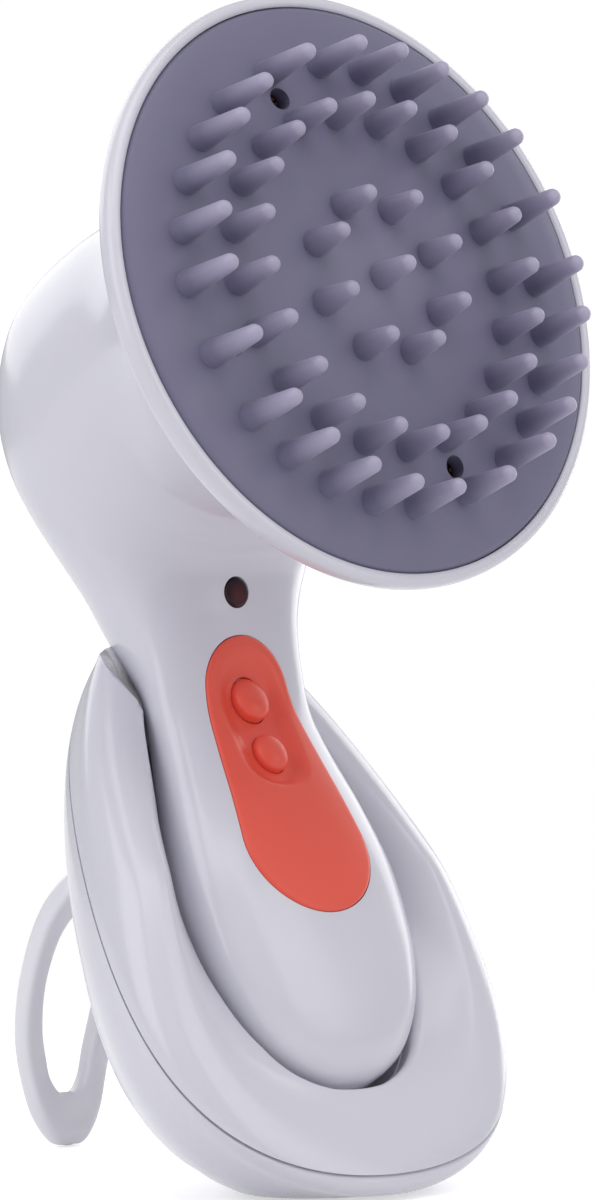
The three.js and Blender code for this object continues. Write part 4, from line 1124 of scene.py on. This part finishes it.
def build_handle():
    shell, tree = handset_shell()
    dress(shell, "handset", white, "white_gloss", "handset_shell")
    dress(grip_panel(tree), "handset", orange, "orange_soft", "grip_panel")
    dress(dome("power_dome", *BUTTONS["power_button"]), "power_key", orange, "orange_soft", "power_button")
    dress(dome("mode_dome", *BUTTONS["mode_button"]), "mode_key", orange, "orange_soft", "mode_button")
    dress(indicator_lens(), "handset", window, "dark_red", "indicator_lens")
    dress(rear_cover(), "handset", white, "white_gloss", "rear_cover")
    for k, height in enumerate(cover_screw_heights()):
        seat = along(HANDLE, height, 2)
        piece = screw(f"cover_fixing_{k + 1}", facing_back(0, height, seat - 0.1), 0.4 + k)
        dress(piece, "handset", steel, "steel", f"cover_screw_{k + 1}")
    seat = back_at(CONTACT_HEIGHT, CONTACT_SPREAD) + GAP + CONTACT_DEPTH
    for k, side in enumerate((-1, 1)):
        plate = contact(f"contact_plate_{k + 1}", side, CONTACT_RADIUS, seat, CONTACT_DEPTH, -1)
        dress(plate, "handset", gold, "contact_gold", f"charge_contact_{k + 1}")


def build_stand():
    dress(stand_front_shell(), "stand", white, "white_gloss", "stand_front_shell", crease=55)
    dress(stand_rear_shell(), "stand", white, "white_gloss", "stand_rear_shell")
    for k, (x, y) in enumerate(STAND_SCREWS):
        piece = screw(f"stand_fixing_{k + 1}", facing_back(x, y, -BOSS_DEPTH - SCREW_SINK), 0.3 + k)
        dress(piece, "stand", steel, "steel", f"stand_screw_{k + 1}")
    reach = back_at(CONTACT_HEIGHT, CONTACT_SPREAD) - PIN_FOOT
    for k, side in enumerate((-1, 1)):
        pin = contact(f"sprung_pin_{k + 1}", side, PIN_TIP, PIN_FOOT, reach, 1)
        dress(pin, ("pin_left", "pin_right")[k], gold, "contact_gold", f"contact_pin_{k + 1}")
    dress(inlet_socket(), "stand", black_plastic, "black_plastic", "inlet_socket")
    foot = rounded_bar("foot_pad", foot_outline(0), 0, FOOT_SIZE[2], same, 0.3)
    dress(foot, "stand", pale_rubber, "pale_rubber", "base_foot")
    dress(hinge_pin(), "stand", steel, "steel", "hinge_pin")


def build_kickstand():
    dress(kickstand(), "prop", white_painted_lighter, "white_gloss", "kickstand")
    pad = rounded_bar("kick_tip", kick_pad_outline(), 0, KICK_PAD_TOP, same, 0.25)
    dress(pad, "prop", pale_rubber, "pale_rubber", "kickstand_pad")


def paint_hidden_nodes():
    paints = {
        grey_plastic: ["pad_carrier", "motor_bracket", "battery_cradle"],
        steel: ["motor", "eccentric_weight", "power_switch", "mode_switch"],
        cell_wrap: ["battery_cell_1", "battery_cell_2"],
        board: ["circuit_board", "stand_board"],
        window: ["indicator_lamp"],
        gold: ["pin_barrel_1", "pin_barrel_2"],
    }
    for material, nodes in paints.items():
        for node in nodes:
            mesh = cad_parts[node].data
            mesh.materials.clear()
            mesh.materials.append(material)


# Studio
def seen_by(tree, first, second):
    """1 for either of two kinds of ray, 0 for the others."""
    path = tree.nodes.new("ShaderNodeLightPath")
    seen = tree.nodes.new("ShaderNodeMath")
    seen.operation = "MAXIMUM"
    tree.links.new(path.outputs[first], seen.inputs[0])
    tree.links.new(path.outputs[second], seen.inputs[1])
    return seen.outputs["Value"]


def backdrop_material():
    """Pale floor that keeps the object's shadow, and is plain white further out."""
    material = bpy.data.materials.new("studio_floor")
    material.use_nodes = True
    tree = material.node_tree
    tree.nodes.clear()
    seen = seen_by(tree, "Is Camera Ray", "Is Glossy Ray")

    diffuse = tree.nodes.new("ShaderNodeBsdfDiffuse")
    diffuse.inputs["Color"].default_value = (0.8, 0.8, 0.81, 1)
    glow = tree.nodes.new("ShaderNodeEmission")
    glow.inputs["Color"].default_value = (1, 1, 1, 1)
    tree.links.new(ranged(tree, seen, 0, 1, 0, 0.55), glow.inputs["Strength"])
    both = tree.nodes.new("ShaderNodeAddShader")
    tree.links.new(diffuse.outputs["BSDF"], both.inputs[0])
    tree.links.new(glow.outputs["Emission"], both.inputs[1])

    far = tree.nodes.new("ShaderNodeMath")
    far.operation = "MULTIPLY"
    tree.links.new(ranged(tree, measured(tree, "LENGTH"), 0.08, 0.3), far.inputs[0])
    tree.links.new(seen, far.inputs[1])
    plain = tree.nodes.new("ShaderNodeEmission")
    blend = tree.nodes.new("ShaderNodeMixShader")
    tree.links.new(far.outputs["Value"], blend.inputs["Fac"])
    tree.links.new(both.outputs["Shader"], blend.inputs[1])
    tree.links.new(plain.outputs["Emission"], blend.inputs[2])

    out = tree.nodes.new("ShaderNodeOutputMaterial")
    tree.links.new(blend.outputs["Shader"], out.inputs["Surface"])
    return material


def build_floor():
    half = 1500
    corners = [(-half, -half, 0), (half, -half, 0), (half, half, 0), (-half, half, 0)]
    floor = new_piece("floor", corners, [(0, 1, 2, 3)])
    floor.location.z = -0.0002
    floor.data.materials.append(backdrop_material())


def build_world():
    """White where the camera or glass looks at it, and a softer grey as light and in reflections."""
    world = bpy.data.worlds.new("studio")
    bpy.context.scene.world = world
    world.use_nodes = True
    tree = world.node_tree
    back = tree.nodes["Background"]
    back.inputs["Color"].default_value = (0.97, 0.98, 1, 1)
    seen = seen_by(tree, "Is Camera Ray", "Is Transmission Ray")
    tree.links.new(ranged(tree, seen, 0, 1, 0.4, 1.05), back.inputs["Strength"])


def area_light(name, place, target, size, power, color=(1, 1, 1)):
    data = bpy.data.lights.new(name, "AREA")
    data.shape = "RECTANGLE"
    data.size, data.size_y = size
    data.energy = power
    data.color = color
    lamp = bpy.data.objects.new(name, data)
    lamp.location = place
    lamp.rotation_euler = (Vector(target) - Vector(place)).to_track_quat("-Z", "Y").to_euler()
    bpy.context.scene.collection.objects.link(lamp)


def build_lights():
    middle = (0, 0, 0.09)
    area_light("left_box", (-0.85, 0.1, 0.45), middle, (0.7, 0.8), 2.9, (0.98, 0.98, 1))
    area_light("top_box", (-0.15, -0.35, 0.95), middle, (0.9, 0.7), 3.0, (1, 1, 1))
    area_light("front_box", (0.35, -0.8, 0.45), middle, (0.6, 0.7), 1.6, (1, 0.99, 0.98))
    area_light("right_box", (0.85, 0.2, 0.3), middle, (0.5, 0.8), 2.4, (1, 1, 1))
    area_light("rear_box", (0.1, 0.85, 0.5), middle, (0.8, 0.6), 1.6, (1, 1, 1))


def build_camera():
    data = bpy.data.cameras.new("camera")
    data.lens = CAMERA_LENS
    data.sensor_width = 36
    data.clip_start, data.clip_end = 0.01, 20
    camera = bpy.data.objects.new("camera", data)
    camera.location = CAMERA_PLACE
    camera.rotation_euler = Euler([math.radians(a) for a in CAMERA_TURN])
    bpy.context.scene.collection.objects.link(camera)
    bpy.context.scene.camera = camera


bpy.context.scene.view_settings.view_transform = "Standard"
build_camera()
build_world()
build_lights()
build_floor()
build_head()
build_handle()
build_stand()
build_kickstand()
paint_hidden_nodes()
